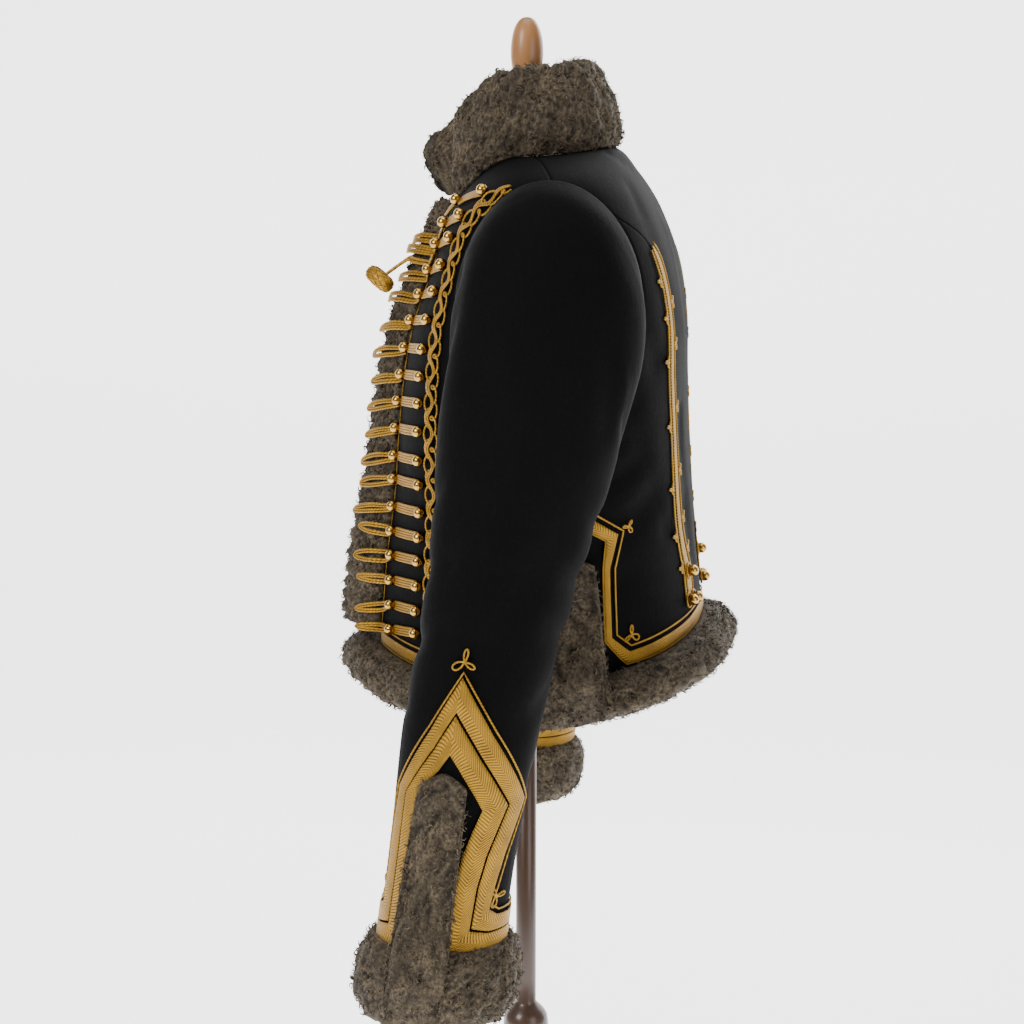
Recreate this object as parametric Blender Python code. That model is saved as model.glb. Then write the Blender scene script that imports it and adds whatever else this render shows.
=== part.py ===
# Hussar pelisse coat, worn by a limbless dress form on a turned wooden stand.
# Metres, +Z up. The wearer's front is -Y and the wearer's left is +X.
# The origin is the middle of the stand's foot, on the floor.
import math

import bmesh
import bpy
from mathutils import Matrix, Vector

# Cloth and clearances
CLOTH = 0.0018
SEAM_GAP = 0.0003
REST_GAP = 0.0003
FUR_GAP = 0.0012
LACE_GAP = 0.0012
SLEEVE_GAP = 0.0007
CUFF_LACE_GAP = 0.0020
CHAIN_GAP = 0.0007
FRONT_COLUMNS = 6
NECK_EDGE_X = 0.040
FRONT_EDGE_X = 0.048

# Body of the coat, one row for each level from the neck seam to the hem:
# height at the side, drop at the front, lift at the back, middle of the side, half width,
# front and back of the section, roundness powers of the front and back halves
LEVEL_COLUMNS = ("height", "drop", "lift", "middle", "half_width", "front", "back", "front_power", "back_power")
LEVELS = (
    (1.436, 0.050, 0.010, 0.010, 0.064, -0.065, 0.075, 2.0, 2.2),
    (1.430, 0.050, 0.010, 0.022, 0.108, -0.068, 0.085, 2.0, 2.4),
    (1.414, 0.040, 0.008, 0.035, 0.156, -0.067, 0.098, 2.1, 2.6),
    (1.390, 0.026, 0.003, 0.040, 0.172, -0.069, 0.115, 2.2, 2.7),
    (1.350, 0.012, 0.000, 0.038, 0.174, -0.077, 0.131, 2.3, 2.8),
    (1.300, 0.008, 0.000, 0.032, 0.172, -0.094, 0.139, 2.3, 2.8),
    (1.250, 0.006, 0.000, 0.025, 0.170, -0.104, 0.141, 2.2, 2.7),
    (1.200, 0.005, 0.000, 0.020, 0.168, -0.109, 0.143, 2.2, 2.7),
    (1.150, 0.004, 0.000, 0.012, 0.164, -0.115, 0.147, 2.0, 2.6),
    (1.090, 0.003, 0.002, 0.005, 0.160, -0.127, 0.152, 1.8, 2.5),
    (1.040, -0.004, 0.012, 0.002, 0.162, -0.133, 0.156, 1.7, 2.5),
    (0.996, -0.010, 0.034, 0.000, 0.165, -0.137, 0.158, 1.65, 2.5),
)
HEM = len(LEVELS) - 1.0

# Armhole, an oval seen from the side
ARMHOLE_Y = 0.044
ARMHOLE_Z = 1.315
ARMHOLE_HALF_Y = 0.072
ARMHOLE_HALF_Z = 0.098
FRONT_TURNS = (0, 20, 40, 60, 80, 100, 120, 140, 160, 180)
BACK_TURNS = (0, 20, 40, 46, 60, 80, 100, 120, 140, 160, 180)
SEAM_START_TURN = 40
BACK_SEAM_COLUMN = 360 - 46
SIDE_SEAM_HEM_Y = 0.056

# Back seam of the left half: height and distance from the middle of the back
BACK_SEAM = (
    (1.364, 0.104), (1.340, 0.094), (1.310, 0.087), (1.280, 0.084), (1.240, 0.081), (1.200, 0.078),
    (1.160, 0.076), (1.130, 0.073), (1.106, 0.066), (1.086, 0.057), (1.060, 0.055), (0.990, 0.058),
)

# Sleeve of the left arm, one row for each ring below the armhole: outer x and z, inner x and z, middle y, half y
SLEEVE_RINGS = (
    (0.190, 1.4150, 0.1730, 1.2120, 0.0460, 0.0745),
    (0.219, 1.4010, 0.1755, 1.2050, 0.0470, 0.0765),
    (0.242, 1.3700, 0.1775, 1.1950, 0.0460, 0.0760),
    (0.258, 1.3250, 0.1790, 1.1800, 0.0420, 0.0740),
    (0.268, 1.2700, 0.1800, 1.1580, 0.0350, 0.0710),
    (0.275, 1.2100, 0.1820, 1.1280, 0.0280, 0.0665),
    (0.280, 1.1450, 0.1860, 1.0850, 0.0180, 0.0605),
    (0.285, 1.0750, 0.1920, 1.0350, 0.0060, 0.0565),
    (0.292, 1.0050, 0.2000, 0.9820, -0.0060, 0.0545),
    (0.300, 0.9400, 0.2080, 0.9280, -0.0140, 0.0520),
    (0.306, 0.8800, 0.2150, 0.8780, -0.0210, 0.0500),
    (0.310, 0.8300, 0.2200, 0.8300, -0.0270, 0.0500),
    (0.312, 0.7800, 0.2220, 0.7800, -0.0320, 0.0510),
)
CUFF_RING = len(SLEEVE_RINGS) - 1.0
SLEEVE_BEND_Z = 1.180
SLEEVE_MESH_RINGS = (0, 1, 2, 3, 4.5, 6, 7.5, 9, 10.5, 12)
RIGHT_SLEEVE_SWING = 0.016
RIGHT_SLEEVE_LIFT = 0.016

# Fur
COLLAR_THICK = 0.021
COLLAR_SEAT = 0.0012
COLLAR_TOP_Z = 1.508
COLLAR_TOP_MIDDLE = 0.004
COLLAR_TOP_HALF = 0.0620
COLLAR_TOP_BACK = 0.0480
COLLAR_TOP_FRONT = 0.0560
COLLAR_FLARE = 0.040
FRONT_FUR_FIRST_LEVEL = 1.1
FRONT_FUR_FOOT_Z = 1.0245
FUR_LUMP = 0.0022
FRONT_FUR_WIDTH = 0.041
FRONT_FUR_GROWTH_TOP = 0.52
FRONT_FUR_GROWTH = 0.066
HEM_FUR_TOP = 0.007
HEM_FUR_DROP = 0.030
HEM_FUR_THICK = 0.027
HEM_FUR_END_X = 0.012
VENT_TURN = 108.0
VENT_HALF_TURN = 10.0
VENT_SLOPE_TURN = 2.0
VENT_TOP_Z = 1.116
CUFF_FUR_TOP_Z = 0.8185
CUFF_FUR_FOOT_Z = 0.765
CUFF_FUR_THICK = 0.014
SLIT_TURN = 9.0
SLIT_HALF_TURN = 17.0
SLIT_SLOPE_TURN = 2.0
SLIT_TOP_Z = 0.958

# Frog rows
ROWS = 18
ROW_TOP_Z = 1.400
ROW_PITCH_TOP = 0.0183
ROW_PITCH_GROWTH = 0.00093
ROW_PITCH_STEPS = 4
ROW_TILT = 0.0070
ROW_DROOP = 0.0110
BALL_RADIUS = 0.0043
CORD = 0.0026
PAIR_WIDTH = 0.0080
LOOP_CLEARANCE = 0.0050
LOOP_SEAT = 0.0014
ROW_STEPS = 3
CHAIN_CLEARANCE = 0.0012
BALL_SEAT = 0.0003

# Share of the front fur's width that a row's loop reaches, by the row's number from the top
LOOP_TIP_SHARE = ((0, 0.10), (1, 0.60), (3, 0.80), (11, 0.70), (14, 0.54), (17, 0.44))

# Height of a row's cords over the cloth, by the row's number from the top
ROW_GAP = (
    (0, 0.0004), (2, 0.0004), (3, 0.0009), (4, 0.0004), (6, 0.0003), (8, 0.0004), (9, 0.0009), (10, 0.0004),
    (11, 0.0004), (12, 0.0010), (13, 0.0004),
)

# Distance of a row's inner button from the middle of the front, by the row's number from the top
ROW_INNER_X = ((0, 0.100), (2, 0.088), (5, 0.077), (8, 0.072), (11, 0.072), (14, 0.084), (17, 0.090))

# Chain band of interlaced cord: turn in degrees and level of its middle
CHAIN_HALF_WIDTH = 0.0090
CHAIN_THICK = 0.0030
CHAIN_PATH = (
    (76.0, 2.15), (70.5, 2.30), (62.0, 2.62), (54.5, 3.05), (50.5, 3.60), (49.5, 4.20), (50.3, 4.90), (51.3, 5.60),
    (52.4, 6.30), (53.2, 7.00), (54.4, 7.70), (55.6, 8.30), (56.3, 9.00), (56.3, 9.70), (56.0, 10.12),
)

# Lace
LACE_THICK = 0.0013
LACE_HALF_WIDTH = 0.0050

# Cuff lace, once round the sleeve from its peak: turn and ring of its upper edge, then of its lower edge
CUFF_LACE_PATH = (
    (5.0, 7.50, 5.0, 8.37), (-12.0, 7.83, -3.0, 8.52), (-28.0, 8.14, -12.0, 8.70), (-50.0, 8.52, -21.0, 8.88),
    (-74.0, 8.92, -28.0, 9.03), (-66.0, 9.26, -22.0, 9.30), (-58.0, 9.62, -16.5, 9.60), (-52.0, 10.05, -13.0, 10.05),
    (-49.0, 10.42, -13.0, 11.05), (-60.0, 10.54, -40.0, 11.10), (-80.0, 10.58, -80.0, 11.10),
    (-100.0, 10.58, -100.0, 11.10), (-120.0, 10.58, -120.0, 11.10), (-140.0, 10.58, -140.0, 11.10),
    (-160.0, 10.58, -160.0, 11.10), (-180.0, 10.58, -180.0, 11.10), (-200.0, 10.58, -200.0, 11.10),
    (-220.0, 10.58, -220.0, 11.10), (-240.0, 10.58, -240.0, 11.10), (-260.0, 10.58, -260.0, 11.10),
    (-282.0, 10.56, -300.0, 11.10), (-298.0, 10.44, -329.0, 11.05), (-298.5, 10.05, -330.0, 10.30),
    (-299.5, 9.62, -330.5, 9.90), (-302.0, 9.20, -329.5, 9.40), (-305.5, 8.79, -328.0, 8.92),
    (-320.0, 8.45, -337.0, 8.74), (-335.0, 8.10, -347.0, 8.56),
)

# Hem and vent lace of the left half, from the front edge to the middle of the back:
# turn in degrees, rise over the cloth's lower edge, half width
HEM_LACE_PATH = (
    (23.0, 0.0140, 0.0050), (36.0, 0.0140, 0.0050), (50.0, 0.0140, 0.0050), (68.0, 0.0140, 0.0050),
    (86.0, 0.0150, 0.0045), (92.5, 0.0350, 0.0026), (93.5, 0.0800, 0.0026), (91.0, 0.1240, 0.0045),
    (107.5, 0.1520, 0.0050), (124.0, 0.1200, 0.0045), (122.3, 0.0950, 0.0026), (122.8, 0.0350, 0.0026),
    (129.0, 0.0150, 0.0045), (138.0, 0.0140, 0.0050), (150.0, 0.0140, 0.0050), (165.0, 0.0140, 0.0050),
    (180.0, 0.0140, 0.0050),
)

# Back lace of the left half: height, distance from the middle of the back, half width
BACK_LACE_PATH = (
    (1.362, 0.1050, 0.0010), (1.350, 0.0980, 0.0035), (1.330, 0.0915, 0.0035), (1.305, 0.0863, 0.0035),
    (1.280, 0.0840, 0.0035), (1.240, 0.0810, 0.0035), (1.200, 0.0780, 0.0035), (1.160, 0.0760, 0.0035),
    (1.130, 0.0730, 0.0035), (1.106, 0.0660, 0.0040), (1.090, 0.0590, 0.0050), (1.080, 0.0560, 0.0062),
    (1.058, 0.0550, 0.0065),
)
BACK_BALL_RADIUS = 0.0050
BACK_BUTTONS = ((0.0560, 1.084), (0.0480, 1.0595), (0.0620, 1.0595))

# Toggle: ends of the woven spindle, and the row above its cord
TOGGLE_ENDS = ((0.050, -0.112, 1.324), (0.040, -0.133, 1.340))
TOGGLE_RADIUS = 0.0068
TOGGLE_ROW = 3
TOGGLE_CORD_WIDTH = 0.0056

# Stand
FORM_LOW_Z = 1.004
FORM_SEAT = 0.0040
FORM_NECK_RADIUS = 0.042
FORM_NECK_SHARE = 0.74
FORM_NECK_FOOT = 0.003
FORM_NECK_TOP_Z = 1.492
POLE_RADIUS = 0.0094
KNOB_TOP_Z = 0.655
BASE_RADIUS = 0.170
BASE_THICK = 0.028
FINIAL_RADIUS = 0.0142
FINIAL_TOP_Z = 1.556


def material(name, colour, roughness, metallic=0.0):
    found = bpy.data.materials.get(name)
    if found:
        return found
    made = bpy.data.materials.new(name)
    made.use_nodes = True
    shader = made.node_tree.nodes["Principled BSDF"]
    shader.inputs["Base Color"].default_value = (*colour, 1.0)
    shader.inputs["Roughness"].default_value = roughness
    shader.inputs["Metallic"].default_value = metallic
    made.diffuse_color = (*colour, 1.0)
    return made


def broadcloth():
    return material("black_broadcloth", (0.008, 0.008, 0.010), 0.85)


def lambskin():
    return material("grey_lamb_fur", (0.11, 0.09, 0.075), 0.95)


def gold_lace():
    return material("gold_lace", (0.72, 0.46, 0.13), 0.38, 0.85)


def linen():
    return material("form_linen", (0.62, 0.55, 0.44), 0.9)


def light_wood():
    return material("light_wood", (0.62, 0.40, 0.22), 0.45)


def pole_wood():
    return material("pole_wood", (0.42, 0.25, 0.12), 0.4)


def add_object(name, mesh, finish):
    mesh.materials.append(finish)
    made = bpy.data.objects.new(name, mesh)
    bpy.context.scene.collection.objects.link(made)
    return made


def mesh_from(name, points, faces):
    """A mesh whose faces all point outwards."""
    work = bmesh.new()
    verts = [work.verts.new(p) for p in points]
    for face in faces:
        work.faces.new([verts[i] for i in face])
    bmesh.ops.recalc_face_normals(work, faces=work.faces)
    if work.calc_volume(signed=True) < 0:
        bmesh.ops.reverse_faces(work, faces=work.faces)
    mesh = bpy.data.meshes.new(name)
    work.to_mesh(mesh)
    work.free()
    mesh.shade_smooth()
    mesh.set_sharp_from_angle(angle=math.radians(40))
    return mesh


def wall_mesh(name, outer, inner, wrap=False):
    """A closed wall between two grids of points, open at its sides unless it wraps into a tube."""
    rows, columns = len(outer), len(outer[0])
    points = [p for row in outer for p in row] + [p for row in inner for p in row]
    across = columns if wrap else columns - 1

    def at(side, i, j):
        return side * rows * columns + i * columns + j % columns

    faces = []
    for i in range(rows - 1):
        for j in range(across):
            for side in (0, 1):
                faces.append((at(side, i, j), at(side, i, j + 1), at(side, i + 1, j + 1), at(side, i + 1, j)))
    for i in (0, rows - 1):
        for j in range(across):
            faces.append((at(0, i, j), at(0, i, j + 1), at(1, i, j + 1), at(1, i, j)))
    if not wrap:
        for j in (0, columns - 1):
            for i in range(rows - 1):
                faces.append((at(0, i, j), at(0, i + 1, j), at(1, i + 1, j), at(1, i, j)))
    return mesh_from(name, points, faces)


def loft_mesh(name, loops, ring=False):
    """A solid through closed loops of points, capped at both ends unless it is a ring."""
    count = len(loops[0])
    points = [p for loop in loops for p in loop]
    faces = []
    stretches = len(loops) if ring else len(loops) - 1
    for i in range(stretches):
        after = (i + 1) % len(loops)
        for j in range(count):
            k = (j + 1) % count
            faces.append((i * count + j, i * count + k, after * count + k, after * count + j))
    if not ring:
        faces.append(tuple(range(count)))
        faces.append(tuple((len(loops) - 1) * count + j for j in range(count)))
    return mesh_from(name, points, faces)


def mirrored(points):
    return [Vector((-p.x, p.y, p.z)) for p in points]


def spline(table, place):
    """The row of a table at a fractional place, on a curve through its rows."""
    last = len(table) - 1
    place = min(max(place, 0.0), float(last))
    i = min(int(place), last - 1)
    f = place - i
    before = table[max(i - 1, 0)]
    start = table[i]
    end = table[i + 1]
    after = table[min(i + 2, last)]
    out = []
    for a, b, c, d in zip(before, start, end, after):
        out.append(
            b + 0.5 * f * (c - a + f * (2 * a - 5 * b + 4 * c - d + f * (3 * (b - c) + d - a)))
        )
    return out


def between(table, value):
    """The second column of a two-column table at a value of its first column, straight between its rows."""
    rows = sorted(table)
    if value <= rows[0][0]:
        return rows[0][1]
    for (low, at_low), (high, at_high) in zip(rows, rows[1:]):
        if value <= high:
            return at_low + (at_high - at_low) * (value - low) / (high - low)
    return rows[-1][1]


def bisect(test, low, high, steps=36):
    """Where test turns from false at low to true at high."""
    for _ in range(steps):
        middle = 0.5 * (low + high)
        if test(middle):
            high = middle
        else:
            low = middle
    return 0.5 * (low + high)


def body_plain(turn, level):
    """A point of the coat's outer face: turn is 0 at the front, 90 degrees at the left side, 180 at the back."""
    row = dict(zip(LEVEL_COLUMNS, spline(LEVELS, level)))
    s, c = math.sin(turn), math.cos(turn)
    if c >= 0:
        power, depth, z = row["front_power"], row["front"] - row["middle"], row["height"] - row["drop"] * c * c
    else:
        power, depth, z = row["back_power"], row["back"] - row["middle"], row["height"] + row["lift"] * c * c
    reach = (abs(s) ** power + abs(c) ** power) ** (-1.0 / power)
    return Vector((row["half_width"] * s * reach, row["middle"] + depth * abs(c) * reach, z))


def body_axes(turn, level):
    """The directions round the coat, down it, and straight out of it, at a point."""
    step = 0.004
    down_step = 0.02
    low = min(level + down_step, HEM)
    high = max(level - down_step, 0.0)
    around = body_plain(turn + step, level) - body_plain(turn - step, level)
    down = body_plain(turn, low) - body_plain(turn, high)
    out = down.cross(around).normalized()
    return around.normalized(), down.normalized(), out


def body(turn, level, out=0.0):
    point = body_plain(turn, level)
    if out:
        point = point + body_axes(turn, level)[2] * out
    return point


def along(turn, level, distance):
    """The turn that lies a distance further round."""
    step = 0.002
    rate = (body_plain(turn + step, level) - body_plain(turn - step, level)).length / (2 * step)
    return turn + distance / rate


def turn_at_x(x, level, back=False):
    if back:
        return math.pi - bisect(lambda a: body_plain(math.pi - a, level).x >= x, 0.0, math.pi / 2)
    return bisect(lambda a: body_plain(a, level).x >= x, 0.0, math.pi / 2)


def place_at(x, z, back=False):
    """The turn and level of the point with this x and z, on the front or the back of the left half."""
    def height(level):
        return body_plain(turn_at_x(x, level, back), level).z

    first = 0.0
    while body_plain(math.pi / 2, first).x < x + 0.002:
        first += 0.02
    level = bisect(lambda a: height(a) <= z, first, HEM)
    return turn_at_x(x, level, back), level


def side_place(y, z):
    """The turn and level of the point of the left side with this y and z."""
    def turn(level):
        return bisect(lambda a: body_plain(a, level).y >= y, 0.05, math.pi - 0.05)

    level = bisect(lambda a: body_plain(turn(a), a).z <= z, 0.9, HEM)
    return turn(level), level


def shifted(turn, level, move):
    """The place that lies a small move away over the coat's face."""
    target = body_plain(turn, level) + move
    step = 0.002
    for _ in range(4):
        here = body_plain(turn, level)
        by_turn = (body_plain(turn + step, level) - here) / step
        by_level = (body_plain(turn, level + step) - here) / step
        off = target - here
        a, b, c = by_turn.dot(by_turn), by_turn.dot(by_level), by_level.dot(by_level)
        d, e = by_turn.dot(off), by_level.dot(off)
        turn += (d * c - e * b) / (a * c - b * b)
        level += (e * a - d * b) / (a * c - b * b)
    return turn, level


def armhole_place(degrees, back, shrink=0.0):
    """The place on the armhole's edge, counted from its top towards the front or the back."""
    a = math.radians(degrees)
    side = 1.0 if back else -1.0
    y = ARMHOLE_Y + side * (ARMHOLE_HALF_Y - shrink) * math.sin(a)
    z = ARMHOLE_Z + (ARMHOLE_HALF_Z - shrink) * math.cos(a)
    return side_place(y, z)


def upper_levels():
    top = armhole_place(0, False)[1]
    return [top * k / 4.0 for k in range(4)]


def lower_levels():
    low = armhole_place(180, False)[1]
    steps = 8
    return [low + (HEM - low) * k / steps for k in range(1, steps + 1)]


def side_seam_turn(level):
    start = armhole_place(180, False)[1]
    share = (level - start) / (HEM - start)
    y = ARMHOLE_Y + (SIDE_SEAM_HEM_Y - ARMHOLE_Y) * share
    return bisect(lambda a: body_plain(a, level).y >= y, 0.05, math.pi - 0.05)


def shoulder_seam_turn(level):
    top_turn, top_level = armhole_place(0, False)
    return top_turn + (math.pi / 2 - top_turn) * (1.0 - level / top_level) * 0.5


def front_edge_turn(level):
    x = NECK_EDGE_X + (FRONT_EDGE_X - NECK_EDGE_X) * min(level / 3.0, 1.0)
    return turn_at_x(x, level)


def back_seam_turn(level):
    turn = 2.6
    for _ in range(4):
        turn = turn_at_x(between(BACK_SEAM, body_plain(turn, level).z), level, back=True)
    return turn


def panel(name, rows, columns, flip=False):
    """A cloth wall whose rows are (level, first turn, last turn)."""
    outer, inner = [], []
    for level, first, last in rows:
        turns = [first + (last - first) * k / columns for k in range(columns + 1)]
        outer.append([body(t, level) for t in turns])
        inner.append([body(t, level, -CLOTH) for t in turns])
    if flip:
        outer = [mirrored(row) for row in outer]
        inner = [mirrored(row) for row in inner]
    add_object(name, wall_mesh(name, outer, inner), broadcloth())


def front_rows():
    half = SEAM_GAP / 2 + 0.00002
    rows = [(u, front_edge_turn(u), along(shoulder_seam_turn(u), u, -half)) for u in upper_levels()]
    for degrees in FRONT_TURNS:
        turn, level = armhole_place(degrees, False)
        rows.append((level, front_edge_turn(level), along(turn, level, -half)))
    rows += [(u, front_edge_turn(u), along(side_seam_turn(u), u, -half)) for u in lower_levels()]
    return rows


def side_back_rows():
    half = SEAM_GAP / 2 + 0.00002
    rows = []
    for degrees in BACK_TURNS:
        if degrees > SEAM_START_TURN:
            turn, level = armhole_place(degrees, True)
            rows.append((level, along(turn, level, half), along(back_seam_turn(level), level, -half)))
    for u in lower_levels():
        rows.append((u, along(side_seam_turn(u), u, half), along(back_seam_turn(u), u, -half)))
    return rows


def back_rows():
    half = SEAM_GAP / 2 + 0.00002
    rows = [(u, along(shoulder_seam_turn(u), u, half)) for u in upper_levels()]
    for degrees in BACK_TURNS:
        turn, level = armhole_place(degrees, True)
        if degrees > SEAM_START_TURN:
            turn = back_seam_turn(level)
        rows.append((level, along(turn, level, half)))
    rows += [(u, along(back_seam_turn(u), u, half)) for u in lower_levels()]
    return [(u, t, 2 * math.pi - t) for u, t in rows]


def make_panels():
    panel("back", back_rows(), 8)
    for side, flip in (("l", False), ("r", True)):
        panel("front_" + side, front_rows(), FRONT_COLUMNS, flip)
        panel("side_back_" + side, side_back_rows(), 4, flip)


def outermost(flat, smooth, out):
    """The flat facet's point, brought out to the smooth face where that lies outside it."""
    return flat + out * max(0.0, (smooth - flat).dot(out))


def front_face(rows):
    """A function for points clear of the front panel's flat facets, from its rows."""
    rows = sorted(rows)

    def face(turn, level, out=0.0):
        k = max(0, min(len(rows) - 2, sum(1 for row in rows if row[0] <= level) - 1))
        (low, first_low, last_low), (high, first_high, last_high) = rows[k], rows[k + 1]
        down = (level - low) / (high - low)
        first = first_low + (first_high - first_low) * down
        last = last_low + (last_high - last_low) * down
        column = (turn - first) / (last - first) * FRONT_COLUMNS
        i = max(0, min(FRONT_COLUMNS - 1, int(column)))
        edges = []
        for here, start, end in ((low, first_low, last_low), (high, first_high, last_high)):
            pair = [body(start + (end - start) * j / FRONT_COLUMNS, here) for j in (i, i + 1)]
            edges.append(pair[0].lerp(pair[1], column - i))
        normal = body_axes(turn, level)[2]
        return outermost(edges[0].lerp(edges[1], down), body_plain(turn, level), normal) + normal * out
    return face


def sleeve_turns():
    return [float(d) for d in FRONT_TURNS] + [360.0 - d for d in reversed(BACK_TURNS[1:-1])]


def sleeve_plain(turn, ring):
    """A point of the left sleeve's outer face: turn is 0 outside, 90 degrees in front, ring counts down the table."""
    outer_x, outer_z, inner_x, inner_z, middle_y, half_y = spline(SLEEVE_RINGS, ring)
    c, s = math.cos(turn), math.sin(turn)
    x = 0.5 * (outer_x + inner_x) + 0.5 * (outer_x - inner_x) * c
    z = 0.5 * (outer_z + inner_z) + 0.5 * (outer_z - inner_z) * c
    return Vector((x, middle_y - half_y * s, z))


def sleeve_axes(turn, ring):
    step = 0.01
    low = min(ring + step, CUFF_RING)
    high = max(ring - step, 0.0)
    around = sleeve_plain(turn + step, ring) - sleeve_plain(turn - step, ring)
    down = sleeve_plain(turn, low) - sleeve_plain(turn, high)
    return around.normalized(), down.normalized(), around.cross(down).normalized()


def sleeve(turn, ring, out=0.0):
    point = sleeve_plain(turn, ring)
    if out:
        point = point + sleeve_axes(turn, ring)[2] * out
    return point


def swung(points):
    """The right sleeve's points: mirrored, and a little further forward and higher towards the cuff."""
    out = []
    cuff_z = SLEEVE_RINGS[-1][1]
    for p in points:
        share = max(0.0, (SLEEVE_BEND_Z - p.z) / (SLEEVE_BEND_Z - cuff_z))
        out.append(Vector((-p.x, p.y - RIGHT_SLEEVE_SWING * share, p.z + RIGHT_SLEEVE_LIFT * share)))
    return out


def sided(loops, flip):
    return [swung(loop) for loop in loops] if flip else loops


def armhole_loop(shrink, out):
    points = []
    for degrees in sleeve_turns():
        back = degrees > 180
        turn, level = armhole_place(360 - degrees if back else degrees, back, shrink)
        points.append(body(turn, level, out))
    return points


def make_sleeves():
    turns = [math.radians(d) for d in sleeve_turns()]
    outer = [armhole_loop(0.0005, 0.0)]
    inner = [armhole_loop(0.0005 + CLOTH, -0.0006)]
    for ring in SLEEVE_MESH_RINGS:
        outer.append([sleeve(t, ring) for t in turns])
        inner.append([sleeve(t, ring, -CLOTH) for t in turns])
    for side, flip in (("l", False), ("r", True)):
        name = "sleeve_" + side
        add_object(name, wall_mesh(name, sided(outer, flip), sided(inner, flip), wrap=True), broadcloth())


def lump(a, b):
    """A small swelling of the fur that differs from place to place."""
    return FUR_LUMP * (math.sin(9.0 * a + 2.0 * math.sin(5.0 * b)) + 0.6 * math.sin(17.0 * b + 3.0 * a)) / 1.6


def sleeve_face(turn, ring, out=0.0):
    """A point clear of the left sleeve's flat facets."""
    turns = [math.radians(d) for d in sleeve_turns()]
    turn %= 2 * math.pi
    i = sum(1 for t in turns if t <= turn) - 1
    start, end = turns[i], turns[(i + 1) % len(turns)]
    if end <= start:
        end += 2 * math.pi
    j = min(len(SLEEVE_MESH_RINGS) - 2, sum(1 for r in SLEEVE_MESH_RINGS if r <= ring) - 1)
    upper, lower = SLEEVE_MESH_RINGS[j], SLEEVE_MESH_RINGS[j + 1]
    round_share = (turn - start) / (end - start)
    high = sleeve(start, upper).lerp(sleeve(end, upper), round_share)
    low = sleeve(start, lower).lerp(sleeve(end, lower), round_share)
    normal = sleeve_axes(turn, ring)[2]
    flat = high.lerp(low, (ring - upper) / (lower - upper))
    return outermost(flat, sleeve_plain(turn, ring), normal) + normal * out


# Collar section from its foot outside, over its top, to its foot inside: share of the rise, share of the thickness
COLLAR_SECTION = (
    (0.00, 0.22), (0.22, 0.52), (0.60, 0.55), (0.88, 0.44), (1.00, 0.02), (0.92, -0.42), (0.55, -0.52), (0.00, -0.62),
)


def collar_middle(turn, share):
    """The middle of the collar's thickness, at a share of its rise."""
    foot = body_plain(turn, 0.0)
    s, c = math.sin(turn), math.cos(turn)
    y = COLLAR_TOP_MIDDLE + (COLLAR_TOP_BACK * -c if c < 0 else -COLLAR_TOP_FRONT * c)
    z = COLLAR_TOP_Z + (0.008 if c < 0 else -0.046) * c * c
    top = Vector((COLLAR_TOP_HALF * s, y, z))
    return foot.lerp(top, share)


def make_collar():
    left_end = math.radians(35)
    right_end = math.radians(360 - 35)
    flare_from = math.radians(250)
    sections = 18
    loops = []
    for k in range(sections + 1):
        turn = left_end + (right_end - left_end) * k / sections
        end_share = max(0.0, 1.0 - 3.5 * min(k, sections - k) / sections)
        thin = 1.0 - 0.45 * end_share ** 3
        flare = COLLAR_FLARE * max(0.0, (turn - flare_from) / (right_end - flare_from)) ** 2
        away = Vector((math.sin(turn), -math.cos(turn), 0.0))
        loop = []
        for rise, out in COLLAR_SECTION:
            point = collar_middle(turn, rise) + away * COLLAR_THICK * out * thin
            if rise > 0:
                point += away * (lump(turn * 2.0, rise * 2.0) if out > 0 else 0.0)
                point.z += lump(turn * 3.0, rise) * rise
            point.y -= flare * math.sin(0.5 * math.pi * min(1.0, 0.30 + rise))
            point.x -= flare * 0.45 * rise
            point.z -= flare * 0.35 * rise
            point.z += COLLAR_SEAT
            loop.append(point)
        loops.append(loop)
    add_object("collar", loft_mesh("collar", loops), lambskin())


# Front fur section, from the cloth's edge: share of the width towards the middle, height over the cloth's face
FRONT_FUR_SECTION = (
    (-0.17, 0.0007), (-0.17, 0.0060), (0.08, 0.0150), (0.35, 0.0235), (0.68, 0.0290), (0.93, 0.0280),
    (1.00, 0.0200), (0.80, 0.0110), (0.45, 0.0040), (0.03, 0.0007),
)


def front_fur_growth(level):
    return min(1.0, FRONT_FUR_GROWTH_TOP + FRONT_FUR_GROWTH * (level - FRONT_FUR_FIRST_LEVEL))


def front_fur_point(level, share, rise):
    """A point by the front edge: share of the fur's width towards the middle, height over the cloth's face."""
    turn = front_edge_turn(level)
    around, _, out = body_axes(turn, level)
    return body(turn, level) - around * FRONT_FUR_WIDTH * front_fur_growth(level) * share + out * rise


def make_front_furs():
    sections = 17
    last = place_at(FRONT_EDGE_X, FRONT_FUR_FOOT_Z)[1]
    loops = []
    for k in range(sections + 1):
        level = FRONT_FUR_FIRST_LEVEL + (last - FRONT_FUR_FIRST_LEVEL) * k / sections
        growth = front_fur_growth(level)
        loop = []
        for share, rise in FRONT_FUR_SECTION:
            if rise > 0.001:
                rise = rise * growth + (lump(level * 2.4, share * 2.0) if rise > 0.01 else 0.0)
            loop.append(front_fur_point(level, share, rise))
        loops.append(loop)
    for side, flip in (("l", False), ("r", True)):
        name = "front_fur_" + side
        made = [mirrored(loop) for loop in loops] if flip else loops
        add_object(name, loft_mesh(name, made), lambskin())


def height_level(turn, z):
    """The level where the body's face at this turn has this height."""
    return bisect(lambda a: body_plain(turn, a).z <= z, 0.0, HEM)


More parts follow.
